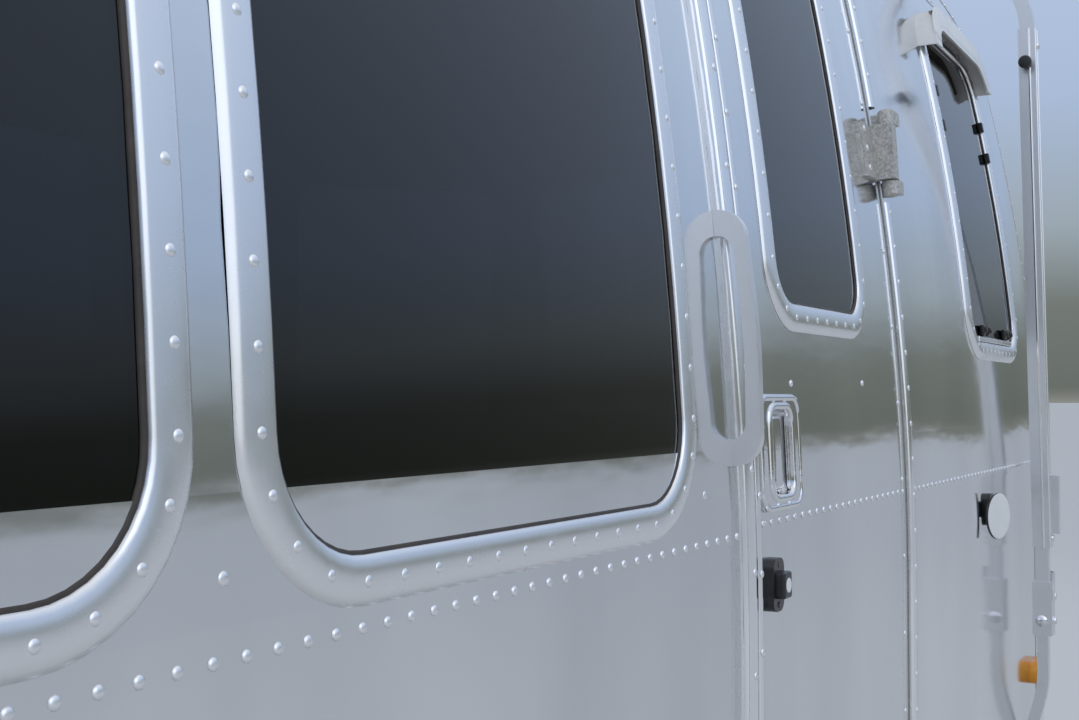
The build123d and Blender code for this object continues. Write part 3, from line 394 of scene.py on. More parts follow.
def rivets(name, spots, radius=0.0042, height=0.0021, sides=10, rings=3):
    """One mesh of rivet heads, from points and the skin's normals there."""
    template, template_faces = dome_template(sides, rings)
    verts, faces = [], []
    for point, normal in spots:
        turn = UP.rotation_difference(normal).to_matrix()
        base = len(verts)
        verts += [point + turn @ Vector(place) for place in template * (radius, radius, height)]
        faces += [tuple(base + index for index in face) for face in template_faces]
    return new_mesh(name, verts, faces)


def rivet_row(name, spots, body="caravan", **form):
    return finish(rivets(name, spots, **form), RIVET, body)


def wall_spots(places, out=0):
    """Points and normals on the door side, from places along it and heights."""
    return [on_skin(side_ray(-1, x), z, out) for x, z in places]


def spaced(pairs, spacing):
    """Points and normals at about equal steps along a line of such pairs."""
    lengths = [0]
    for (first, _), (second, _) in zip(pairs, pairs[1:]):
        lengths.append(lengths[-1] + (second - first).length)
    count = max(1, round(lengths[-1] / spacing))
    found = []
    index = 0
    for step in range(count + 1):
        place = lengths[-1] * step / count
        while index < len(pairs) - 2 and lengths[index + 1] < place:
            index += 1
        span = lengths[index + 1] - lengths[index] or 1
        part = (place - lengths[index]) / span
        (first, first_way), (second, second_way) = pairs[index:index + 2]
        found.append((first.lerp(second, part), first_way.lerp(second_way, part).normalized()))
    return found


def window_rivets(window, out=FRAME_RIVETS_OUT):
    """Rivets along a frame: the upright runs are spaced wider than the level runs and the corners."""
    pairs = [beside(window, row, FRAME_RIVET_AT, out) for row in outline(window)]
    found = []
    block = TURN_STEPS + RUN_STEPS
    for side in range(4):
        start = side * block
        turn = pairs[start:start + TURN_STEPS + 1]
        run = pairs[start + TURN_STEPS:start + block] + [pairs[(start + block) % len(pairs)]]
        found += spaced(turn, LEVEL_STEP)[:-1]
        found += spaced(run, UPRIGHT_STEP if side in (0, 2) else LEVEL_STEP)[:-1]
    return found


# Materials
def material(name, colour, metallic=0, roughness=0.5, specular=0.5):
    made = bpy.data.materials.new(name)
    made.use_nodes = True
    shader = made.node_tree.nodes["Principled BSDF"]
    for socket, value in (("Base Color", (*colour, 1)), ("Metallic", metallic), ("Roughness", roughness),
                          ("Specular IOR Level", specular)):
        shader.inputs[socket].default_value = value
    return made, made.node_tree, shader


def new_node(tree, kind, inputs=(), operation=None):
    """Outputs of a new shader node, whose inputs are set to values or linked to sockets."""
    made = tree.nodes.new(f"ShaderNode{kind}")
    if operation:
        made.operation = operation
    for place, value in inputs:
        if isinstance(value, bpy.types.NodeSocket):
            tree.links.new(value, made.inputs[place])
        else:
            made.inputs[place].default_value = value
    return made.outputs


def noise(tree, scale, detail=3, stretch=(1, 1, 1), roughness=0.5):
    where = new_node(tree, "TexCoord")
    mapped = new_node(tree, "Mapping", (("Vector", where["Object"]), ("Scale", stretch)))
    return new_node(tree, "TexNoise", (("Vector", mapped["Vector"]), ("Scale", scale), ("Detail", detail),
                                       ("Roughness", roughness)))["Fac"]


def ramp(tree, value, stops):
    """A colour ramp, from rows of position and grey or colour."""
    made = tree.nodes.new("ShaderNodeValToRGB")
    while len(made.color_ramp.elements) < len(stops):
        made.color_ramp.elements.new(0.5)
    for element, (place, colour) in zip(made.color_ramp.elements, stops):
        element.position = place
        element.color = (*((colour,) * 3 if isinstance(colour, (int, float)) else colour), 1)
    tree.links.new(value, made.inputs["Fac"])
    return made.outputs["Color"]


def bump(tree, shader, heights):
    """Bump from rows of height socket and depth in metres, one over the other."""
    under = ()
    for height, depth in heights:
        inputs = (("Distance", depth), ("Strength", 1), ("Height", height), *under)
        normal = new_node(tree, "Bump", inputs)["Normal"]
        under = (("Normal", normal),)
    tree.links.new(normal, shader.inputs["Normal"])


def inner_mask(tree):
    """1 on faces that look into the cabin, 0 on the outside."""
    where = new_node(tree, "TexCoord")
    middle = (MIDDLE_X, MIDDLE_Y, BELT_Z)
    off = new_node(tree, "VectorMath", ((0, where["Object"]), (1, middle)), "SUBTRACT")
    squashed = new_node(tree, "VectorMath", ((0, off["Vector"]), (1, CABIN_SQUASH)), "MULTIPLY")
    outward = new_node(tree, "VectorMath", ((0, squashed["Vector"]), (1, where["Normal"])), "DOT_PRODUCT")
    return new_node(tree, "Math", ((0, outward["Value"]), (1, -0.2)), "LESS_THAN")["Value"]


def mix(tree, factor, first, second):
    made = tree.nodes.new("ShaderNodeMix")
    made.data_type = "RGBA"
    tree.links.new(factor, made.inputs["Factor"])
    for socket, value in ((made.inputs["A"], first), (made.inputs["B"], second)):
        if isinstance(value, tuple):
            socket.default_value = (*value, 1)
        else:
            tree.links.new(value, socket)
    return made.outputs["Result"]


CABIN_SQUASH = (0.35, 1, 1)
LINING = (0.55, 0.52, 0.47)


def make_skin():
    """Bright sheet: slightly wavy and streaked outside, plain pale lining inside."""
    made, tree, shader = material("aluminium_sheet", (0.8, 0.81, 0.83), 1, 0.12)
    inside = inner_mask(tree)
    streaks = ramp(tree, noise(tree, 3, 5, (1.2, 1.2, 0.35)),
                   ((0.3, (0.7, 0.71, 0.73)), (0.7, (0.84, 0.85, 0.86))))
    tree.links.new(mix(tree, inside, streaks, LINING), shader.inputs["Base Color"])
    haze = ramp(tree, noise(tree, 1.6, 6, (1, 1, 0.5), 0.6), ((0.25, 0.06), (0.75, 0.13)))
    tree.links.new(mix(tree, inside, haze, (0.6, 0.6, 0.6)), shader.inputs["Roughness"])
    outside = new_node(tree, "Math", ((0, 1), (1, inside)), "SUBTRACT")
    tree.links.new(outside["Value"], shader.inputs["Metallic"])
    waves = noise(tree, 2.2, 1)
    ripples = noise(tree, 9, 2, (0.6, 0.6, 2.2))
    bump(tree, shader, ((waves, 0.0045), (ripples, 0.0004), (noise(tree, 60, 2), 0.00002)))
    return made, "skin"


def metal(name, slot, colour, rough_low, rough_high, scale=40, depth=0.00005):
    made, tree, shader = material(name, colour, 1, rough_low)
    haze = ramp(tree, noise(tree, scale, 4), ((0.3, rough_low), (0.7, rough_high)))
    tree.links.new(haze, shader.inputs["Roughness"])
    bump(tree, shader, ((noise(tree, scale * 4, 3), depth),))
    return made, slot


def mottled(name, slot, dark, light, roughness, scale, depth, metallic=0):
    made, tree, shader = material(name, light, metallic, roughness)
    spots = noise(tree, scale, 6, (1, 1, 1), 0.7)
    tree.links.new(ramp(tree, spots, ((0.35, dark), (0.65, light))), shader.inputs["Base Color"])
    bump(tree, shader, ((spots, depth),))
    return made, slot


def make_glass():
    """Dark glass with a mirror coat: what is inside shows only faintly."""
    made, tree, shader = material("tinted_glass", (0.045, 0.055, 0.065), 0, 0.012, 0.5)
    shader.inputs["Transmission Weight"].default_value = 1
    shader.inputs["IOR"].default_value = 1.55
    waves = noise(tree, 1.4, 1, (1, 1, 2))
    bump(tree, shader, ((waves, 0.0012), (noise(tree, 7, 1, (0.4, 0.4, 3)), 0.0001)))
    return made, "glass"


def make_wood():
    made, tree, shader = material("plywood", (0.45, 0.33, 0.22), 0, 0.5)
    grain = noise(tree, 5, 8, (1, 14, 14))
    streaks = ramp(tree, grain, ((0.3, (0.3, 0.2, 0.12)), (0.7, (0.5, 0.36, 0.23))))
    tree.links.new(streaks, shader.inputs["Base Color"])
    return made, "floor"


# Looks: each a material and the slot that its pieces stand in
SKIN = make_skin()
TRIM = metal("satin_moulding", "trim", (0.88, 0.88, 0.89), 0.24, 0.29, 30, 0.00001)
RIVET = metal("rivet_head", "trim", (0.93, 0.93, 0.94), 0.3, 0.38, 200)
SATIN = metal("satin_casting", "chrome", (0.84, 0.84, 0.85), 0.36, 0.44, 30, 0.00001)
BRIGHT = metal("bright_moulding", "trim", (0.9, 0.9, 0.91), 0.12, 0.17, 30, 0.00001)
CHROME = metal("chrome_plate", "chrome", (0.82, 0.82, 0.84), 0.04, 0.1)
ZINC = metal("zinc_plate", "zinc", (0.62, 0.63, 0.64), 0.28, 0.42, 60)
RIM = metal("rim_paint", "rim", (0.74, 0.75, 0.76), 0.22, 0.34, 12)
CASTING = mottled("weathered_casting", "casting",
                  (0.36, 0.34, 0.31), (0.72, 0.71, 0.68), 0.55, 260, 0.0006, metallic=0.55)
HOOD = mottled("pale_moulding", "hood", (0.8, 0.8, 0.78), (0.88, 0.88, 0.87), 0.35, 25, 0.00005)
LINER = mottled("brown_channel", "black_plastic", (0.13, 0.1, 0.075), (0.19, 0.15, 0.11), 0.5, 60, 0.0001)
SEAL = mottled("window_gasket", "black_plastic",
               (0.035, 0.028, 0.024), (0.06, 0.045, 0.036), 0.5, 40, 0.00002)
RUBBER = mottled("black_rubber", "black_plastic",
                 (0.01, 0.01, 0.011), (0.022, 0.022, 0.023), 0.55, 90, 0.0001)
BLACK = mottled("black_moulding", "black_plastic",
                (0.012, 0.012, 0.013), (0.03, 0.03, 0.032), 0.28, 60, 0.0001)
WHITE = mottled("white_moulding", "white_plastic", (0.78, 0.78, 0.76), (0.85, 0.85, 0.83), 0.45, 12, 0.0001)
RED = mottled("red_lens", "red_lens", (0.42, 0.012, 0.012), (0.58, 0.02, 0.02), 0.12, 30, 0.0001)
AMBER = mottled("amber_lens", "amber_lens", (0.8, 0.28, 0.02), (0.92, 0.4, 0.04), 0.12, 30, 0.0001)
CHASSIS = mottled("chassis_paint", "chassis_paint",
                  (0.03, 0.03, 0.032), (0.06, 0.06, 0.063), 0.45, 20, 0.0003)
TYRE = mottled("tyre_rubber", "tyre", (0.018, 0.018, 0.018), (0.035, 0.034, 0.033), 0.75, 30, 0.0004)
PLATE = mottled("plate_paint", "amber_lens", (0.7, 0.5, 0.05), (0.78, 0.58, 0.07), 0.4, 15, 0.00003)
FABRIC = mottled("woven_fabric", "floor", (0.42, 0.4, 0.36), (0.56, 0.53, 0.48), 0.85, 420, 0.0006)
WORKTOP = mottled("worktop", "floor", (0.52, 0.51, 0.49), (0.66, 0.65, 0.62), 0.3, 90, 0.00002)
GLASS = make_glass()
WOOD = make_wood()

BY_SLOT = {slot: made for made, slot in (SKIN, TRIM, HOOD, GLASS, CASTING, CHROME, BLACK, WHITE, RED, AMBER,
                                         CHASSIS, ZINC, RIM, TYRE, WOOD)}
for row in frame["record"]["subparts"]:
    worn = nodes[row["node"]].data.materials
    worn.clear()
    worn.append(BY_SLOT[row["material_slot"]])
for name in ("grab_handle", "awning_arms", "awning_roller", "vent_frame"):
    nodes[name].data.materials[0] = SATIN[0]

# Window mouldings: convex bands with a thin dark gasket against the glass
BAND = mm((0, -1), (0.2, 3), (1.5, 4.4), (4, 5.4), (9, 6.4), (16, 6.8), (23, 6.2), (28, 5), (32, 3),
          (34, 0.2))
THICK_BAND = tuple((across, out * 1.35) for across, out in BAND)
GASKET = mm((-3.4, -1.4), (-3, 0.4), (-1.4, 1.4), (0.6, 1.6))


def frame_band(name, windows, profile, node, body="caravan"):
    """A moulding in the place of a frame's plain solid."""
    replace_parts(finish(window_band(name, windows, profile), TRIM, body), node)


def make_windows():
    plain = [window for window in WINDOWS if window is not HOODED_WINDOW]
    frame_band("window_mouldings", plain, BAND, "window_frames")
    frame_band("hooded_window_moulding", [HOODED_WINDOW], THICK_BAND, "window_frames")
    finish(window_band("window_gaskets", WINDOWS, GASKET), SEAL)
    frame_band("door_window_moulding", [DOOR_PANE], BAND, "door_window_frame", "door")
    finish(window_band("door_window_gasket", [DOOR_PANE], GASKET), SEAL, "door")
    near = []
    for window in NEAR_WINDOWS:
        near += window_rivets(window, HOODED_RIVETS_OUT if window is HOODED_WINDOW else FRAME_RIVETS_OUT)
    rivet_row("rivets_windows_curb", near, **FINEST)
    rivet_row("rivets_windows_rest", [spot for window in FAR_WINDOWS for spot in window_rivets(window)])
    rivet_row("rivets_door_window", window_rivets(DOOR_PANE), "door", sides=14)


# Rivet rows round the body, and the doubled edges of its sheets
BELT_STEP = 0.0272
SEAM_STEP = 0.036
RUN_PARTS = 60
CORNER_PARTS = 24
END_PARTS = 8
BELT_ROW_LOW = -0.007
LAP = 0.0011
ROUND_LAP = mm((-15, 0.1), (-14.8, 1.1), (12, 1.1), (87, 0.1))
UPRIGHT_LAP = mm((-12, 0.1), (-11.8, 1.1), (12, 1.1), (12.2, 0.1))
DOOR_STRAYS = [(1.041, 1.518), (1.339, 1.521)]
WALL_STRAYS = [(0.062, 1.399), (0.758, 1.402), (-0.636, 1.399)]


def side_run(side, first, last):
    return [side_ray(side, x) for x in np.linspace(first, last, RUN_PARTS, endpoint=False)]


def end_run(end, side):
    """Rays round one end, from one side wall to the other."""
    rays = [corner_ray(end, side, pi / 2 * (1 - n / CORNER_PARTS)) for n in range(CORNER_PARTS)]
    rays += [end_ray(end, side * HALF_Y * (1 - 2 * n / END_PARTS)) for n in range(END_PARTS)]
    return rays + [corner_ray(end, -side, pi / 2 * n / CORNER_PARTS) for n in range(CORNER_PARTS + 1)]


def plan_rays():
    """Rays round the body, from the front edge of the door's surround to its rear edge."""
    return (side_run(-1, SURROUND_X1, HALF_X) + end_run(1, -1) + side_run(1, HALF_X, -HALF_X) + end_run(-1, 1)
            + side_run(-1, -HALF_X, SURROUND_X0) + [side_ray(-1, SURROUND_X0)])


def body_line(z, spacing, out=0):
    """Pairs of point and normal round the body at a height, but for the door."""
    return spaced([on_skin(ray, z, out) for ray in plan_rays()], spacing)


def section_heights(low, high):
    """Heights along the section, closer together where the roof turns level."""
    shares = np.linspace(0, 1, RUN_PARTS + 1)
    if high > EAVE_Z:
        shares = np.sin(shares * pi / 2)
    return low + (high - low) * shares


def seam(rays, low, high):
    """Rivets up the skin at each ray, by even steps along the section."""
    found = []
    for ray in rays:
        found += spaced([on_skin(ray, z, LAP) for z in section_heights(low, high)], SEAM_STEP)
    return found


def lap_round(name, z):
    """The doubled edge of one sheet over the next, all round the body at a height."""
    rows = [[on_skin(ray, z + up, out)[0] for up, out in ROUND_LAP] for ray in plan_rays()]
    finish(new_sheet(name, rows, smooth=False), SKIN)


def lap_up(name, rays, low, high):
    """The doubled edge of a sheet up the skin at each ray."""
    pile = ([], [])
    for ray in rays:
        along = Vector((-ray[1][1], ray[1][0], 0))
        add_sheet(pile, [[on_skin(ray, z, out)[0] + along * across for across, out in UPRIGHT_LAP]
                         for z in section_heights(low, high)])
    finish(new_mesh(name, *pile, smooth=False), SKIN)


def make_belt():
    lap_round("belt_lap", BELT_Z)
    drop = Vector((0, 0, BELT_ROW_LOW))
    spots = []
    for point, normal in body_line(BELT_Z + BELT_ROW_LOW, BELT_STEP, LAP):
        by_door = point.x - MIDDLE_X > HINGE_X and point.y < 0
        spots.append((point - drop if by_door else point, normal))
    rivet_row("rivets_belt", spots, **FINE)
    row = [(x, BELT_Z) for x in np.arange(HINGE_X - DOOR_R + 0.02, HINGE_X - 0.012, BELT_STEP)]
    rivet_row("rivets_door_belt", wall_spots(row + DOOR_STRAYS), "door", **FINE)
    rivet_row("rivets_stray", wall_spots(WALL_STRAYS), radius=0.0048, **FINEST)


# Places of the upright seams: along the side walls, as angles round the corners, and across the roof
WALL_SEAMS = (-HALF_X + 0.012, HALF_X - 0.012)
LOW_SEAMS = (-1.42, 0.66)
CORNER_SEAMS = (0.253, 1.38)
DOME_SEAMS = (0, 0.5, 1)
ROOF_SEAMS = (-1.55, -0.45, 0.75, 1.75)
SEAM_END = 0.03
FOOT_ROW_UP = 0.035
FOOT_ROW_STEP = 0.05
ARCH = (-1.195, 0.495, 0.8)
ARCH_MARGIN = 0.04


def in_arch(point):
    first, last, top = ARCH
    return first - ARCH_MARGIN < point.x - MIDDLE_X < last + ARCH_MARGIN and point.z < top + ARCH_MARGIN


def make_seams():
    corners = [(end, side) for end in (1, -1) for side in (1, -1)]
    walls = [side_ray(side, x) for side in (-1, 1) for x in WALL_SEAMS]
    walls += [side_ray(side, x) for side in (-1, 1) for x in LOW_SEAMS if side > 0 or x < 0]
    posts = [corner_ray(end, side, angle) for end, side in corners for angle in CORNER_SEAMS]
    ribs = [corner_ray(end, side, pi / 2 * part) for end, side in corners for part in DOME_SEAMS]
    bays = [side_ray(side, x) for x in ROOF_SEAMS for side in (-1, 1)]
    spots = seam(walls, WALL_BOTTOM + SEAM_END, BELT_Z - SEAM_END) + seam(posts, BELT_Z + SEAM_END, EAVE_Z)
    spots += body_line(WALL_BOTTOM + FOOT_ROW_UP, FOOT_ROW_STEP)
    rivet_row("rivets_seams", [spot for spot in spots if not in_arch(spot[0])])
    domes = seam(ribs, EAVE_Z + 0.01, ROOF_Z - 0.002) + body_line(EAVE_Z, SEAM_STEP, LAP)
    rivet_row("rivets_domes", domes, sides=8)
    rivet_row("rivets_roof", seam(bays, EAVE_Z + 0.01, ROOF_Z - 0.0005), sides=8)
    lap_round("eave_lap", EAVE_Z)
    lap_up("laps_lower", walls, WALL_BOTTOM + 0.02, BELT_Z - 0.012)
    lap_up("laps_posts", posts, BELT_Z + 0.012, EAVE_Z - 0.012)
    lap_up("laps_domes", ribs + bays, EAVE_Z + 0.013, ROOF_Z - 0.0006)


# Door surround and hinge strip. A hinge is a height and its pin's distance off the skin.
HINGES = ((0.91, 0.035), (1.875, 0.024))
HINGE_GAP = 0.075
RIVET_GAP = 0.083
HINGE_STRIP = mm((3.4, 4), (4, 7.2), (8, 9.2), (14, 9.8), (20, 9.2), (24, 7.2), (24.6, 4))
WIDE_RIB = mm((7.5, 4), (8.2, 8.6), (12, 11.2), (23, 12.2), (34, 11.2), (37.8, 8.6), (38.5, 4))
NARROW_RIB = mm((43.8, 4), (44.2, 7.6), (47, 9.2), (50.5, 9.6), (54, 9.2), (56.8, 7.6), (57.2, 4))
DOOR_LIP = mm((-633.5, 0.2), (-633.2, 2.2), (-627.5, 2.4), (-626.2, 0.2))
RIB_ROWS = ((SURROUND_X0 + 0.023, 0.0118, 0.11), (SURROUND_X0 + 0.0505, 0.0092, 0.085),
            (HINGE_X + 0.014, 0.0094, 0.054))
LIP_END = 0.095
EDGE_STEP = 0.115


def make_door_trim():
    low = DOOR_BOTTOM + 0.018
    high = DOOR_TOP - 0.012
    for name, section in (("rib_wide", WIDE_RIB), ("rib_narrow", NARROW_RIB)):
        finish(upright_strip(name, SURROUND_X0, low, high, section), BRIGHT)
    cuts = [low] + [middle + way for middle, _ in HINGES for way in (-HINGE_GAP, HINGE_GAP)] + [high]
    for place, z0, z1 in zip(("lower", "middle", "upper"), cuts[0::2], cuts[1::2]):
        finish(upright_strip(f"hinge_strip_{place}", HINGE_X, z0, z1, HINGE_STRIP), BRIGHT)
    lip = upright_strip("door_lip", HINGE_X, DOOR_BOTTOM + LIP_END, DOOR_TOP - LIP_END, DOOR_LIP)
    finish(lip, BRIGHT, "door")
    spots = []
    for x, out, step in RIB_ROWS:
        heights = np.arange(low + 0.02, high - 0.02, step)
        if x > HINGE_X:
            heights = [z for z in heights if all(abs(z - middle) > RIVET_GAP for middle, _ in HINGES)]
        spots += wall_spots([(x, z) for z in heights], out)
    rivet_row("rivets_surround", spots, radius=0.0046, **FINE)
    edge = [(HINGE_X - 0.016, z) for z in np.arange(low + 0.05, high - 0.05, EDGE_STEP)]
    rivet_row("rivets_door_edge", wall_spots(edge), "door", **FINE)


# Lock: a rimmed plate with a pocket, and in it a paddle
LOCK_X = HINGE_X - 0.558
LOCK_LOW = BELT_Z + 0.012
LOCK_HIGH = BELT_Z + 0.144
LOCK_HALF = 0.067
LOCK_OUT = 0.006
LOCK_RIVETS = (-0.058, -0.02, 0.018, 0.056)
SKIN_RIVETS = (-0.05, -0.03, 0.03, 0.05)
POCKET_HALF = 0.037
POCKET_EDGE = 0.014
LOCK_RIM = mm((0.6, 0.2), (0.8, 5), (-0.8, 7.2), (-3.6, 8), (-6.4, 7.2), (-7.2, 5.8))
LOCK_LIP = mm((-3.2, -6), (-3.4, 6.6), (-2, 8.8), (1.4, 9.2), (4.4, 8.2), (5.6, 5.8))


def make_lock():
    for name, half, edge, radius, profile in (("lock_rim", LOCK_HALF, 0, 0.022, LOCK_RIM),
                                              ("lock_lip", POCKET_HALF, POCKET_EDGE, 0.018, LOCK_LIP)):
        hole = side_window(-1, LOCK_X - half, LOCK_X + half, LOCK_LOW + edge, radius, LOCK_HIGH - edge)
        finish(window_band(name, [hole], profile), CHROME, "door")
    middle = (LOCK_LOW + LOCK_HIGH) / 2
    paddle, floor = piles(2)
    at = wall_frame(-1, LOCK_X + 0.004, middle)
    add_block(paddle, at, (-17, -44, -20), (15, 44, 1), 6, 5)
    add_block(paddle, at, (-33, -47, -21.5), (29, -40, -8), 3)
    for across in (-0.024, 0.024):
        add_button(paddle, wall_frame(-1, LOCK_X + across, LOCK_LOW + 0.022, -0.012), 4.2, 5)
    build("lock_paddle", paddle, CHROME, "door")
    add_block(floor, wall_frame(-1, LOCK_X, middle), (-34.5, -50, -17), (34.5, 50, -12), 1, 2)
    build("lock_pocket_floor", floor, SATIN, "door")
    ends = (LOCK_LOW + 0.006, LOCK_HIGH - 0.006)
    plate = [(LOCK_X + across, z) for across in LOCK_RIVETS for z in ends]
    plate += [(LOCK_X - 0.06, LOCK_LOW + up) for up in (0.036, 0.066, 0.096)]
    skin = [(LOCK_X + across, LOCK_LOW - 0.012) for across in SKIN_RIVETS]
    spots = wall_spots(plate, LOCK_OUT) + wall_spots(skin)
    rivet_row("rivets_lock", spots, "door", radius=0.0036)


# Hinge castings: caps on the pins and screws in the leaves
PIN_TOP = 0.0635
PIN_CAP = mm((13, -2), (12.2, 1.6), (9, 3.6), (0.2, 4.4))


def make_hinges():
    places = [on_skin(side_ray(-1, HINGE_X), z)[0] - Vector((0, out, 0)) for z, out in HINGES]
    way = (places[1] - places[0]).normalized()
    caps, screws = piles(2)
    for point in places:
        for sign in (1, -1):
            add_turned(caps, facing(point + way * sign * PIN_TOP, way * sign), PIN_CAP)
        for up in (-0.03, 0, 0.03):
            add_button(screws, wall_frame(-1, HINGE_X - 0.056, point.z + up, 0.0068), 5.2, 2.2, 0.6)
    build("hinge_caps", caps, CASTING)
    build("hinge_screws", screws, RIVET, "door")


# Hold-back catches: a black socket on the door, and its hook with a blank tag on the wall
CATCH_REACH = 0.59
CATCH_Z = BELT_Z - 0.07
TAG_TURN = radians(16)
TAG_SIDE = 0.03
TAG_UP = -0.012
TAG = mm((42.5, -0.6), (42.8, 0.2), (41.8, 1), (40, 0.7), (0.2, 0.7))


def make_catches():
    for name, reach, body in (("door", -CATCH_REACH, "door"), ("wall", CATCH_REACH, "caravan")):
        face, ring = piles(2)
        at = wall_frame(-1, HINGE_X + reach, CATCH_Z)
        add_block(face, at, (-12.5, -15, 6), (12.5, 15, 20), 3)
        for up in (-0.0225, 0.0225):
            add_button(face, lifted(at, 0, up, 0.007), 4, 2.2, 0.6)
        build(f"catch_socket_{name}", face, BLACK, body)
        add_button(ring, lifted(at, 0, 0, 0.019), 8.5, 1.6, 0.6)
        build(f"catch_face_{name}", ring, WHITE, body)
    way = Vector((-sin(TAG_TURN), -cos(TAG_TURN), 0))
    arm_end = hull(HINGE_X + CATCH_REACH + 0.026, -SKIN_Y - 0.026, CATCH_Z)
    centre = arm_end + way.cross(UP) * TAG_SIDE + UP * TAG_UP + way * 0.0042
    tag = ([], [])
    add_turned(tag, facing(centre, way), TAG, 48)
    build("catch_tag", tag, WHITE)


# Hooded window: the hood's lining, the sliding pane's clips and latches
HOOD_LOW = HEAD_Z - 0.045
HOOD_STEPS = 24
HOOD_LINING = mm((37.4, 10), (37.2, 30), (35, 31.2), (20, 31.4), (19, 30), (10, 30), (9, 31.4), (3, 31.6))
HOOD_EDGE = mm((42.2, 34), (41.6, 35.8), (40, 36.6), (6, 36.6), (3, 36.2), (1.6, 35), (1.6, 31.8))
CLIP_HEIGHTS = (2.085, 2.017)
LATCH_SPOTS = (-0.115, -0.075, 0.095, 0.135)


def hood_band(name, profile, look):
    rows = [row for row in outline(HOODED_WINDOW, HOOD_STEPS) if row[1] > HOOD_LOW]
    points = [[beside(HOODED_WINDOW, row, grow, out)[0] for grow, out in profile] for row in rows]
    finish(new_sheet(name, points), look)


def make_hooded_window():
    hood_band("hood_lining", HOOD_LINING, LINER)
    hood_band("hood_edge", HOOD_EDGE, HOOD)
    ray_at, half, low, _, _ = HOODED_WINDOW
    middle = ray_at(0, low)[0][0] - MIDDLE_X
    clips, bars = piles(2)
    for z in CLIP_HEIGHTS:
        for across in (-half + 0.004, half - 0.004):
            at = wall_frame(-1, middle + across, z)
            add_block(clips, at, (-5.5, -11, -0.5), (5.5, 11, 10), 2)
    for across in LATCH_SPOTS:
        at = wall_frame(-1, middle + across, low + 0.024)
        add_block(clips, at, (-8.5, -10, -0.5), (8.5, 10, 9), 3)
        add_button(clips, lifted(at, 0, 0, 0.0085), 6, 5, 0.5)
    build("window_clips", clips, BLACK)
    at = wall_frame(-1, middle, low + 0.006)
    add_box(bars, at, (-half + 0.05, -0.005, -0.0005), (half - 0.05, 0.005, 0.006), 0.002)
    build("window_sill_bar", bars, TRIM)


# Awning arms: a black peg on each inner face, bolts, and the folding lever by the foot
ARM_XS = (HINGE_X + 0.91, -1.82)
ARM_W = 0.03
ARM_D = 0.034
ARM_LOW = BELT_Z - 0.17
ARM_HIGH = HEAD_Z + 0.066
ARM_OUTER = (-SKIN_Y - 0.063, -SKIN_Y - 0.043)
PEG_Z = 2.2
BOLT_ZS = (PEG_Z + 0.04, ARM_LOW + 0.02, ARM_LOW - 0.1, ARM_LOW - 0.15)
ARM_LINES = ((-ARM_W / 2 + 0.003, 0), (ARM_W / 2 - 0.003, 0), (-ARM_W / 2, 0.012))
LINE_R = 0.0024
PEG = mm((10, -1), (10, 6), (7.5, 7), (7.5, 19), (13, 20), (13.5, 26), (12, 28), (0.2, 28))
ARM_BOLT = mm((10, -1), (10, 1.5), (7, 1.8), (7, 5.5), (6, 6.5), (0.2, 6.8))
FOOT_BOLT = mm((12, -1), (12, 1.5), (8, 1.8), (8, 6), (6.8, 7.2), (0.2, 7.5))
ARM_LEVER = mm((0.2, 0), (4.5, 1), (5, 40), (3.5, 60), (0.2, 61))


def arm_y(z):
    """Where an arm's outer face is at a height."""
    return ARM_OUTER[0] + (ARM_OUTER[1] - ARM_OUTER[0]) * (z - ARM_LOW) / (ARM_HIGH - ARM_LOW)


def make_arms():
    pegs, bolts, edges = piles(3)
    inward = Vector((-1, 0, 0))
    for x in ARM_XS:
        peg = hull(x - ARM_W / 2, arm_y(PEG_Z) + ARM_D / 2, PEG_Z)
        add_turned(pegs, facing(peg, inward), PEG, 24)
        for z in BOLT_ZS:
            face = arm_y(z) if z > ARM_LOW else ARM_OUTER[0] - 0.003
            add_turned(bolts, facing(hull(x, face, z), Vector((0, -1, 0))), ARM_BOLT, 24)
        for across, deep in ARM_LINES:
            low, high = [hull(x + across, arm_y(z) + deep, z) for z in (ARM_LOW, ARM_HIGH)]
            length = (high - low).length
            bar = ((0.0002, 0), (LINE_R, 0), (LINE_R, length), (0.0002, length))
            add_turned(edges, facing(low, (high - low).normalized()), bar, 12)
        foot = hull(x - ARM_W / 2 - 0.006, ARM_OUTER[0] + ARM_D / 2, ARM_LOW - 0.15)
        add_turned(bolts, facing(foot, inward), FOOT_BOLT)
        lever = hull(x - 0.012, ARM_OUTER[0] - 0.004, ARM_LOW - 0.045)
        add_turned(bolts, facing(lever, -UP), ARM_LEVER, 16)
    build("arm_pegs", pegs, BLACK)
    build("arm_bolts", bolts, CHROME)
    build("arm_edges", edges, BRIGHT)


# Awning rail along the roof's edge, and a drip rail over the door
RAIL_Z = 2.415
RAIL_XS = (-1.9, 2.55)
RAIL_PARTS = 81
RAIL_SECTION = mm((-10, 0.2), (-9, 6), (-4, 11), (4, 11), (9, 6), (10, 0.2))
DRIP_REAR = SURROUND_X0 - 0.03
DRIP_LONG = SURROUND_X1 - SURROUND_X0 + 0.06
DRIP_Z = DOOR_TOP + 0.05
DRIP_RISE = 0.018
DRIP_PARTS = 31
DRIP_SECTION = mm((-4, 0.2), (-6, 11), (-1, 14), (4, 6), (6, 0.2))


def make_rails():
    places = [(x, RAIL_Z) for x in np.linspace(*RAIL_XS, RAIL_PARTS)]
    finish(strip("awning_rail", places, RAIL_SECTION), TRIM)
    shares = np.linspace(0, 1, DRIP_PARTS)
    places = [(DRIP_REAR + DRIP_LONG * share, DRIP_Z + DRIP_RISE * sin(pi * share)) for share in shares]
    finish(strip("drip_rail", places, DRIP_SECTION), TRIM)


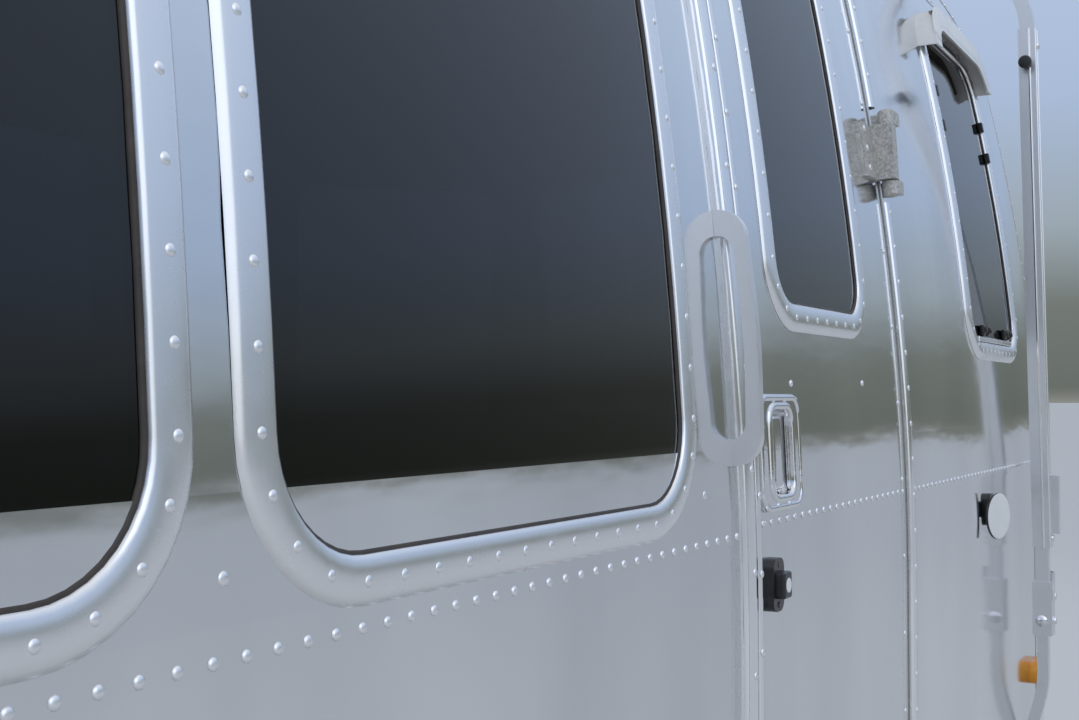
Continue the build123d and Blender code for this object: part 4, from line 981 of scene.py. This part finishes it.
# Lamps: chrome rings and ribbed lenses at the tail, and a blank plate with its lamp
TAIL_ZS = (0.8, 0.96)
TAIL_TURN = radians(26)
PLATE_Z = 0.64
LAMP_RING = mm((60, 8.5), (60.6, 12.5), (65, 13.5), (69, 12), (70.5, 8.5))
LENS_RIBS = [(0.0598, -0.004), (0.0598, 0.002)]
for rib in range(8):
    LENS_RIBS += [(0.0585 - 0.007 * rib, 0.0044 + 0.0006 * rib), (0.056 - 0.007 * rib, 0.003 + 0.0006 * rib)]
LENS_RIBS.append((0.0002, 0.008))


def make_lamps():
    rings, lenses, plate, lamp = piles(4)
    for side in (-1, 1):
        way = Vector((-cos(TAIL_TURN), side * sin(TAIL_TURN), 0))
        centre = hull(-HALF_X, side * HALF_Y, 0) + way * (CORNER_R - 0.01)
        for z in TAIL_ZS:
            at = facing(centre + UP * z + way * 0.05, way)
            add_turned(rings, at, LAMP_RING, 48)
            add_turned(lenses, at, LENS_RIBS, 48)
    build("tail_lamp_rings", rings, CHROME)
    build("tail_lamp_ribs", lenses, RED)
    at = rear_frame(PLATE_Z)
    add_block(plate, at, (-155, -55, 0.2), (155, 55, 6), 2.5)
    build("number_plate_blank", plate, PLATE)
    add_block(lamp, at, (-45, 64, 0.2), (45, 86, 30), 6)
    build("plate_lamp", lamp, CHROME)


# Hitch end: the gas cover's rolled edges and knob, the jack's collar and cap, the coupler's latch
COUPLER_TOP = 0.51
JACK_X = 4.42
BALL_X = 4.72
GAS_X = 3.87
GAS_HALF = (0.165, 0.32)
GAS_R = 0.15
GAS_TOP = 1.096
GAS_RINGS = (mm((0.2, 478), (11, 479), (12, 490), (10, 494), (0.2, 497)),
             mm((0.2, 905), (5, 906), (7, 914), (7, 922), (5, 930), (0.2, 931)))
GAS_KNOB = mm((30, -1), (30, 2), (10, 4), (8, 16), (20, 19), (23, 26), (20, 33), (0.2, 35))
JACK_COLLAR = mm((40.2, 0.5), (56, 0.5), (57, 2), (57, 18), (55, 20), (40.2, 20))
HEX_BOLT = mm((11, 0.2), (11, 7), (8.5, 8.5), (0.2, 8.5))


def plan_ring(pile, x, half, radius, profile):
    """A moulding round an upright rounded column. Its profile's rows are a distance out and a height."""
    rows = [[hull(x + along + grow * way_x, across + grow * way_y, z) for grow, z in profile]
            for along, across, way_x, way_y in round_corners(half, radius)]
    add_sheet(pile, rows, closed=True)


def make_hitch():
    rings, fittings, dark = piles(3)
    for profile in GAS_RINGS:
        plan_ring(rings, GAS_X, GAS_HALF, GAS_R, profile)
    build("gas_cover_edges", rings, TRIM)
    add_turned(fittings, facing(hull(GAS_X, 0, GAS_TOP), UP), GAS_KNOB, 32)
    for side in (-1, 1):
        latch = facing(hull(GAS_X, side * GAS_HALF[1], 0.918), Vector((0, side, 0)))
        add_block(fittings, latch, (-16, -45, 0.2), (16, 45, 11), 2.4)
        add_button(fittings, lifted(latch, 0, 0.028, 0.0105), 7, 4, 0.5)
    add_turned(fittings, facing(hull(JACK_X, 0, COUPLER_TOP), UP), JACK_COLLAR, 48)
    cap = facing(hull(JACK_X, 0, 1), UP)
    add_block(dark, cap, (-60, -50, -0.5), (60, 50, 20), 12, 5)
    add_block(dark, cap, (64, -22, -70), (70, 22, -30), 2)
    add_button(dark, lifted(cap, 0, 0, 0.0195), 18, 8, 0.6)
    build("jack_cap", dark, BLACK)
    lever = Matrix.Translation(hull(BALL_X - 0.075, 0, COUPLER_TOP)) @ Matrix.Rotation(radians(5), 4, "Y")
    add_block(fittings, lever, (-80, -14, 6), (60, 14, 12), 2.8)
    add_block(fittings, lever, (30, -17, -10), (64, 17, 10), 4)
    for side in (-1, 1):
        for x in (BALL_X - 0.16, BALL_X - 0.1):
            at = facing(hull(x, side * 0.045, 0.455), Vector((0, side, 0)))
            add_turned(fittings, at, HEX_BOLT, 6)
    build("hitch_fittings", fittings, ZINC)


# Hatch trims: a raised edge round each opening, a pull handle, and treads on the step
REAR_HATCH = (0.33, 0.76, 1.23)
SIDE_HATCH = (1.5, 2.15, 0.64, 1.01)
TRIM_GAP = 0.0072
TRIM_W = 0.009
TRIM_T = 0.0035
TRIM_HINGE = 0.045
TREADS = 7
TREAD_PITCH = 0.03


def opening_trim(pile, at, half, height, hinge):
    """Bars round an opening whose lower edge's middle is at the frame; the top bar leaves gaps for hinges."""
    side = half + TRIM_GAP
    top = height + TRIM_GAP
    foot = -TRIM_GAP - TRIM_W
    bars = [(-side - TRIM_W, -side, foot, top + TRIM_W), (side, side + TRIM_W, foot, top + TRIM_W),
            (-side, side, foot, -TRIM_GAP)]
    cuts = (-side, -hinge - TRIM_HINGE, -hinge + TRIM_HINGE, hinge - TRIM_HINGE, hinge + TRIM_HINGE, side)
    bars += [(x0, x1, top, top + TRIM_W) for x0, x1 in zip(cuts[0::2], cuts[1::2])]
    for x0, x1, y0, y1 in bars:
        add_box(pile, at, (x0, y0, 0.0002), (x1, y1, TRIM_T), 0.0014, 2)


def make_hatches():
    trims, pull, latch = piles(3)
    half, low, high = REAR_HATCH
    rear = rear_frame(low)
    opening_trim(trims, rear, half, high - low, 0.2)
    x0, x1, side_low, side_high = SIDE_HATCH
    opening_trim(trims, wall_frame(1, (x0 + x1) / 2, side_low), (x1 - x0) / 2, side_high - side_low, 0.215)
    build("hatch_trims", trims, TRIM)
    add_block(pull, rear, (-85, 224, 15), (85, 240, 24), 4, 4)
    for across in (-0.074, 0.074):
        add_box(pull, rear, (across - 0.01, 0.222, 0.0002), (across + 0.01, 0.242, 0.02), 0.004)
    build("rear_lid_pull", pull, CHROME, "rear_lid")
    at = wall_frame(1, (x0 + x1) / 2, side_low + 0.05)
    add_button(latch, at, 30, 6, 0.5, 40)
    add_block(latch, at, (-20, -5, 5), (20, 5, 11), 2.4)
    build("locker_lid_latch", latch, CHROME, "locker_lid")


def make_step():
    low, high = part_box("entry_step")
    treads = ([], [])
    flat = Matrix.Translation((0, 0, high.z))
    for n in range(TREADS):
        y = low.y + TREAD_PITCH * (n + 1)
        add_box(treads, flat, (low.x + 0.04, y, -0.0005), (high.x - 0.04, y + 0.016, 0.003), 0.0012, 2)
    build("step_treads", treads, RUBBER, "step")


# Furniture within the solids' space: cupboard fronts, worktop, and padded bed and bench tops
WOOD_BOXES = (((-0.35, 0.745, 0.852), (0.85, 1.205, 1.19)), ((-0.345, 0.745, 0.602), (0.845, 0.945, 0.855)),
              ((-3.228, -0.698, 0.602), (-1.702, 0.698, 0.87)), ((2.252, -0.698, 0.602), (2.928, 0.698, 0.9)))
GALLEY_DOORS = 4
GALLEY_PITCH = 0.3
PADS = (("bed_mattress", (-3.215, -0.69, 0.87), (-1.71, 0.69, 1.078)),
        ("bench_cushion", (2.262, -0.69, 0.9), (2.918, 0.69, 1.048)))
PAD_CUTS = 23
PAD_ROUND = 0.055
PAD_CROWN = 0.016


def pad(low, high):
    """A closed pad that fills a box, with rounded edges and a top that swells to its middle."""
    made = bmesh.new()
    bmesh.ops.create_cube(made, size=2)
    bmesh.ops.subdivide_edges(made, edges=made.edges[:], cuts=PAD_CUTS, use_grid_fill=True)
    middle, half = (Vector(low) + Vector(high)) / 2, (Vector(high) - Vector(low)) / 2
    inner = half - Vector((PAD_ROUND, PAD_ROUND, PAD_ROUND))
    verts = []
    made.verts.index_update()
    for vert in made.verts:
        spread = Vector([sin(value * pi / 2) for value in vert.co])
        point = Vector([value * size for value, size in zip(spread, half)])
        core = Vector([max(-size, min(size, value)) for value, size in zip(point, inner)])
        away = point - core
        if away.length > 1e-9:
            point = core + away.normalized() * PAD_ROUND
        if point.z > 0:
            point.z -= PAD_CROWN * (spread.x ** 2 + spread.y ** 2) / 2
        verts.append(hull(*(middle + point)))
    faces = [tuple(vert.index for vert in face.verts) for face in made.faces]
    made.free()
    return verts, faces


def make_furniture():
    wood, top, handles = piles(3)
    room = Matrix.Translation((MIDDLE_X, MIDDLE_Y, 0))
    for low, high in WOOD_BOXES:
        add_box(wood, room, low, high, 0.004, 2)
    for n in range(GALLEY_DOORS):
        x = -0.344 + GALLEY_PITCH * n
        add_box(wood, room, (x, 0.73, 0.64), (x + GALLEY_PITCH - 0.012, 0.7455, 1.17), 0.003, 2)
        add_box(handles, room, (x + 0.08, 0.7215, 1.12), (x + 0.2, 0.73, 1.13), 0.002, 2)
    add_box(top, room, (-0.35, 0.722, 1.19), (0.85, 1.208, 1.229), 0.006)
    pieces = [build("furniture_wood", wood, WOOD), build("galley_worktop", top, WORKTOP),
              build("galley_handles", handles, CHROME)]
    for name, low, high in PADS:
        piece = finish(new_mesh(name, *pad(low, high)), FABRIC)
        pieces.append(piece)
    for piece in pieces:
        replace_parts(piece, "furniture")


# Wheels: tyres with grooves in their tread, and nuts
TYRE_R = 0.359
TYRE_HALF = 0.1075
TYRE_STEPS = 96
AXLE = Matrix(((1, 0, 0), (0, 0, 1), (0, 1, 0))).to_4x4()
TREAD_HALF = 0.086
RIM_R = 0.203
GROOVES = (0.056, 0.019, -0.019, -0.056)
NUTS = 6
NUTS_R = 0.082
NUTS_OUT = 0.03


def tyre_profile(side):
    wall = mm((2, 36), (10, 30), (22, 16), (45, 6), (75, 0.5), (100, 3), (122, 9), (140, 16))
    half = [(RIM_R + up, TYRE_HALF - inward) for up, inward in wall]
    half += [(TYRE_R - 0.006, TREAD_HALF + 0.003), (TYRE_R - 0.002, TREAD_HALF - 0.005)]
    tread = []
    for middle in GROOVES:
        for across, deep in ((0.006, 0), (0.004, 0.008), (-0.004, 0.008), (-0.006, 0)):
            tread.append((TYRE_R - deep, middle + across))
    rows = half + tread + [(radius, -across) for radius, across in reversed(half)]
    return [(radius, side * across) for radius, across in rows]


def make_wheels():
    for place in ("front", "rear"):
        for name, side in (("left", 1), ("right", -1)):
            corner = f"{place}_{name}"
            low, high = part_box(f"tyre_{corner}")
            centre = (low + high) / 2
            tread = ([], [])
            add_turned(tread, Matrix.Translation(centre) @ AXLE, tyre_profile(side), TYRE_STEPS)
            tyre = finish(new_mesh(f"tyre_tread_{corner}", *tread), TYRE, f"wheel_{corner}")
            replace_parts(tyre, f"tyre_{corner}")
            nuts = []
            for turn in turns(NUTS):
                spot = centre + Vector((NUTS_R * cos(turn), side * NUTS_OUT, NUTS_R * sin(turn)))
                nuts.append((spot, Vector((0, side, 0))))
            heads = rivets(f"wheel_nuts_{corner}", nuts, 0.011, 0.022, sides=6, rings=2)
            finish(heads, CHROME, f"wheel_{corner}")


# Studio: a pale floor, and a soft blue-grey backdrop over a darker foot, seen alike by eye and mirror
FLOOR_REACH = 400
FLOOR_Z = -0.001
SKY = ((0, (0.4, 0.4, 0.38)), (0.084, (0.3, 0.31, 0.29)), (0.096, (0.14, 0.156, 0.14)),
       (0.15, (0.17, 0.19, 0.175)), (0.2, (0.33, 0.39, 0.44)), (0.28, (0.4, 0.5, 0.68)),
       (0.48, (0.52, 0.63, 0.82)), (1, (0.86, 0.9, 0.96)))
LAMPS = (("key", (-4.5, -7, 5.5), 135), ("back", (7, 5, 6), 100))
LAMP_SIZE = 10
LAMP_TARGET = Vector((0, 0, 1.2))


def stand(data, place, way):
    """Put a lamp or camera at a place, to look along a direction."""
    thing = bpy.data.objects.new(data.name, data)
    thing.location = place
    thing.rotation_euler = way.to_track_quat("-Z", "Y").to_euler()
    bpy.context.scene.collection.objects.link(thing)
    return thing


def make_world(scene):
    world = bpy.data.worlds.new("studio")
    scene.world = world
    world.use_nodes = True
    tree = world.node_tree
    where = new_node(tree, "TexCoord")
    split = new_node(tree, "SeparateXYZ", (("Vector", where["Generated"]),))
    height = new_node(tree, "MapRange", (("From Min", -0.1), ("From Max", 1), ("Value", split["Z"])))
    backdrop = tree.nodes["Background"].inputs
    tree.links.new(ramp(tree, height["Result"], SKY), backdrop["Color"])
    backdrop["Strength"].default_value = 1


def make_studio():
    corners = [(FLOOR_REACH * x, FLOOR_REACH * y, FLOOR_Z) for x, y in ((-1, -1), (1, -1), (1, 1), (-1, 1))]
    floor = new_mesh("studio_floor", corners, [(0, 1, 2, 3)], smooth=False)
    floor.data.materials.append(material("studio_floor", (0.6, 0.59, 0.57), 0, 0.8, 0.2)[0])
    scene = bpy.context.scene
    make_world(scene)
    for name, place, power in LAMPS:
        light = bpy.data.lights.new(name, "AREA")
        light.shape = "DISK"
        light.size = LAMP_SIZE
        light.energy = power
        stand(light, place, LAMP_TARGET - Vector(place))
    camera = bpy.data.cameras.new("camera")
    camera.sensor_width = SENSOR_MM
    camera.lens = FOCAL_PX / PHOTO_WIDTH * SENSOR_MM
    camera.clip_start = 0.02
    level = cos(CAMERA_PITCH)
    ahead = Vector((cos(CAMERA_YAW) * level, sin(CAMERA_YAW) * level, sin(CAMERA_PITCH)))
    scene.camera = stand(camera, CAMERA_AT, ahead)
    scene.view_settings.view_transform = "Standard"


make_windows()
make_belt()
make_seams()
make_door_trim()
make_lock()
make_hinges()
make_catches()
make_hooded_window()
make_arms()
make_rails()
make_lamps()
make_hitch()
make_hatches()
make_step()
make_furniture()
make_wheels()
make_studio()
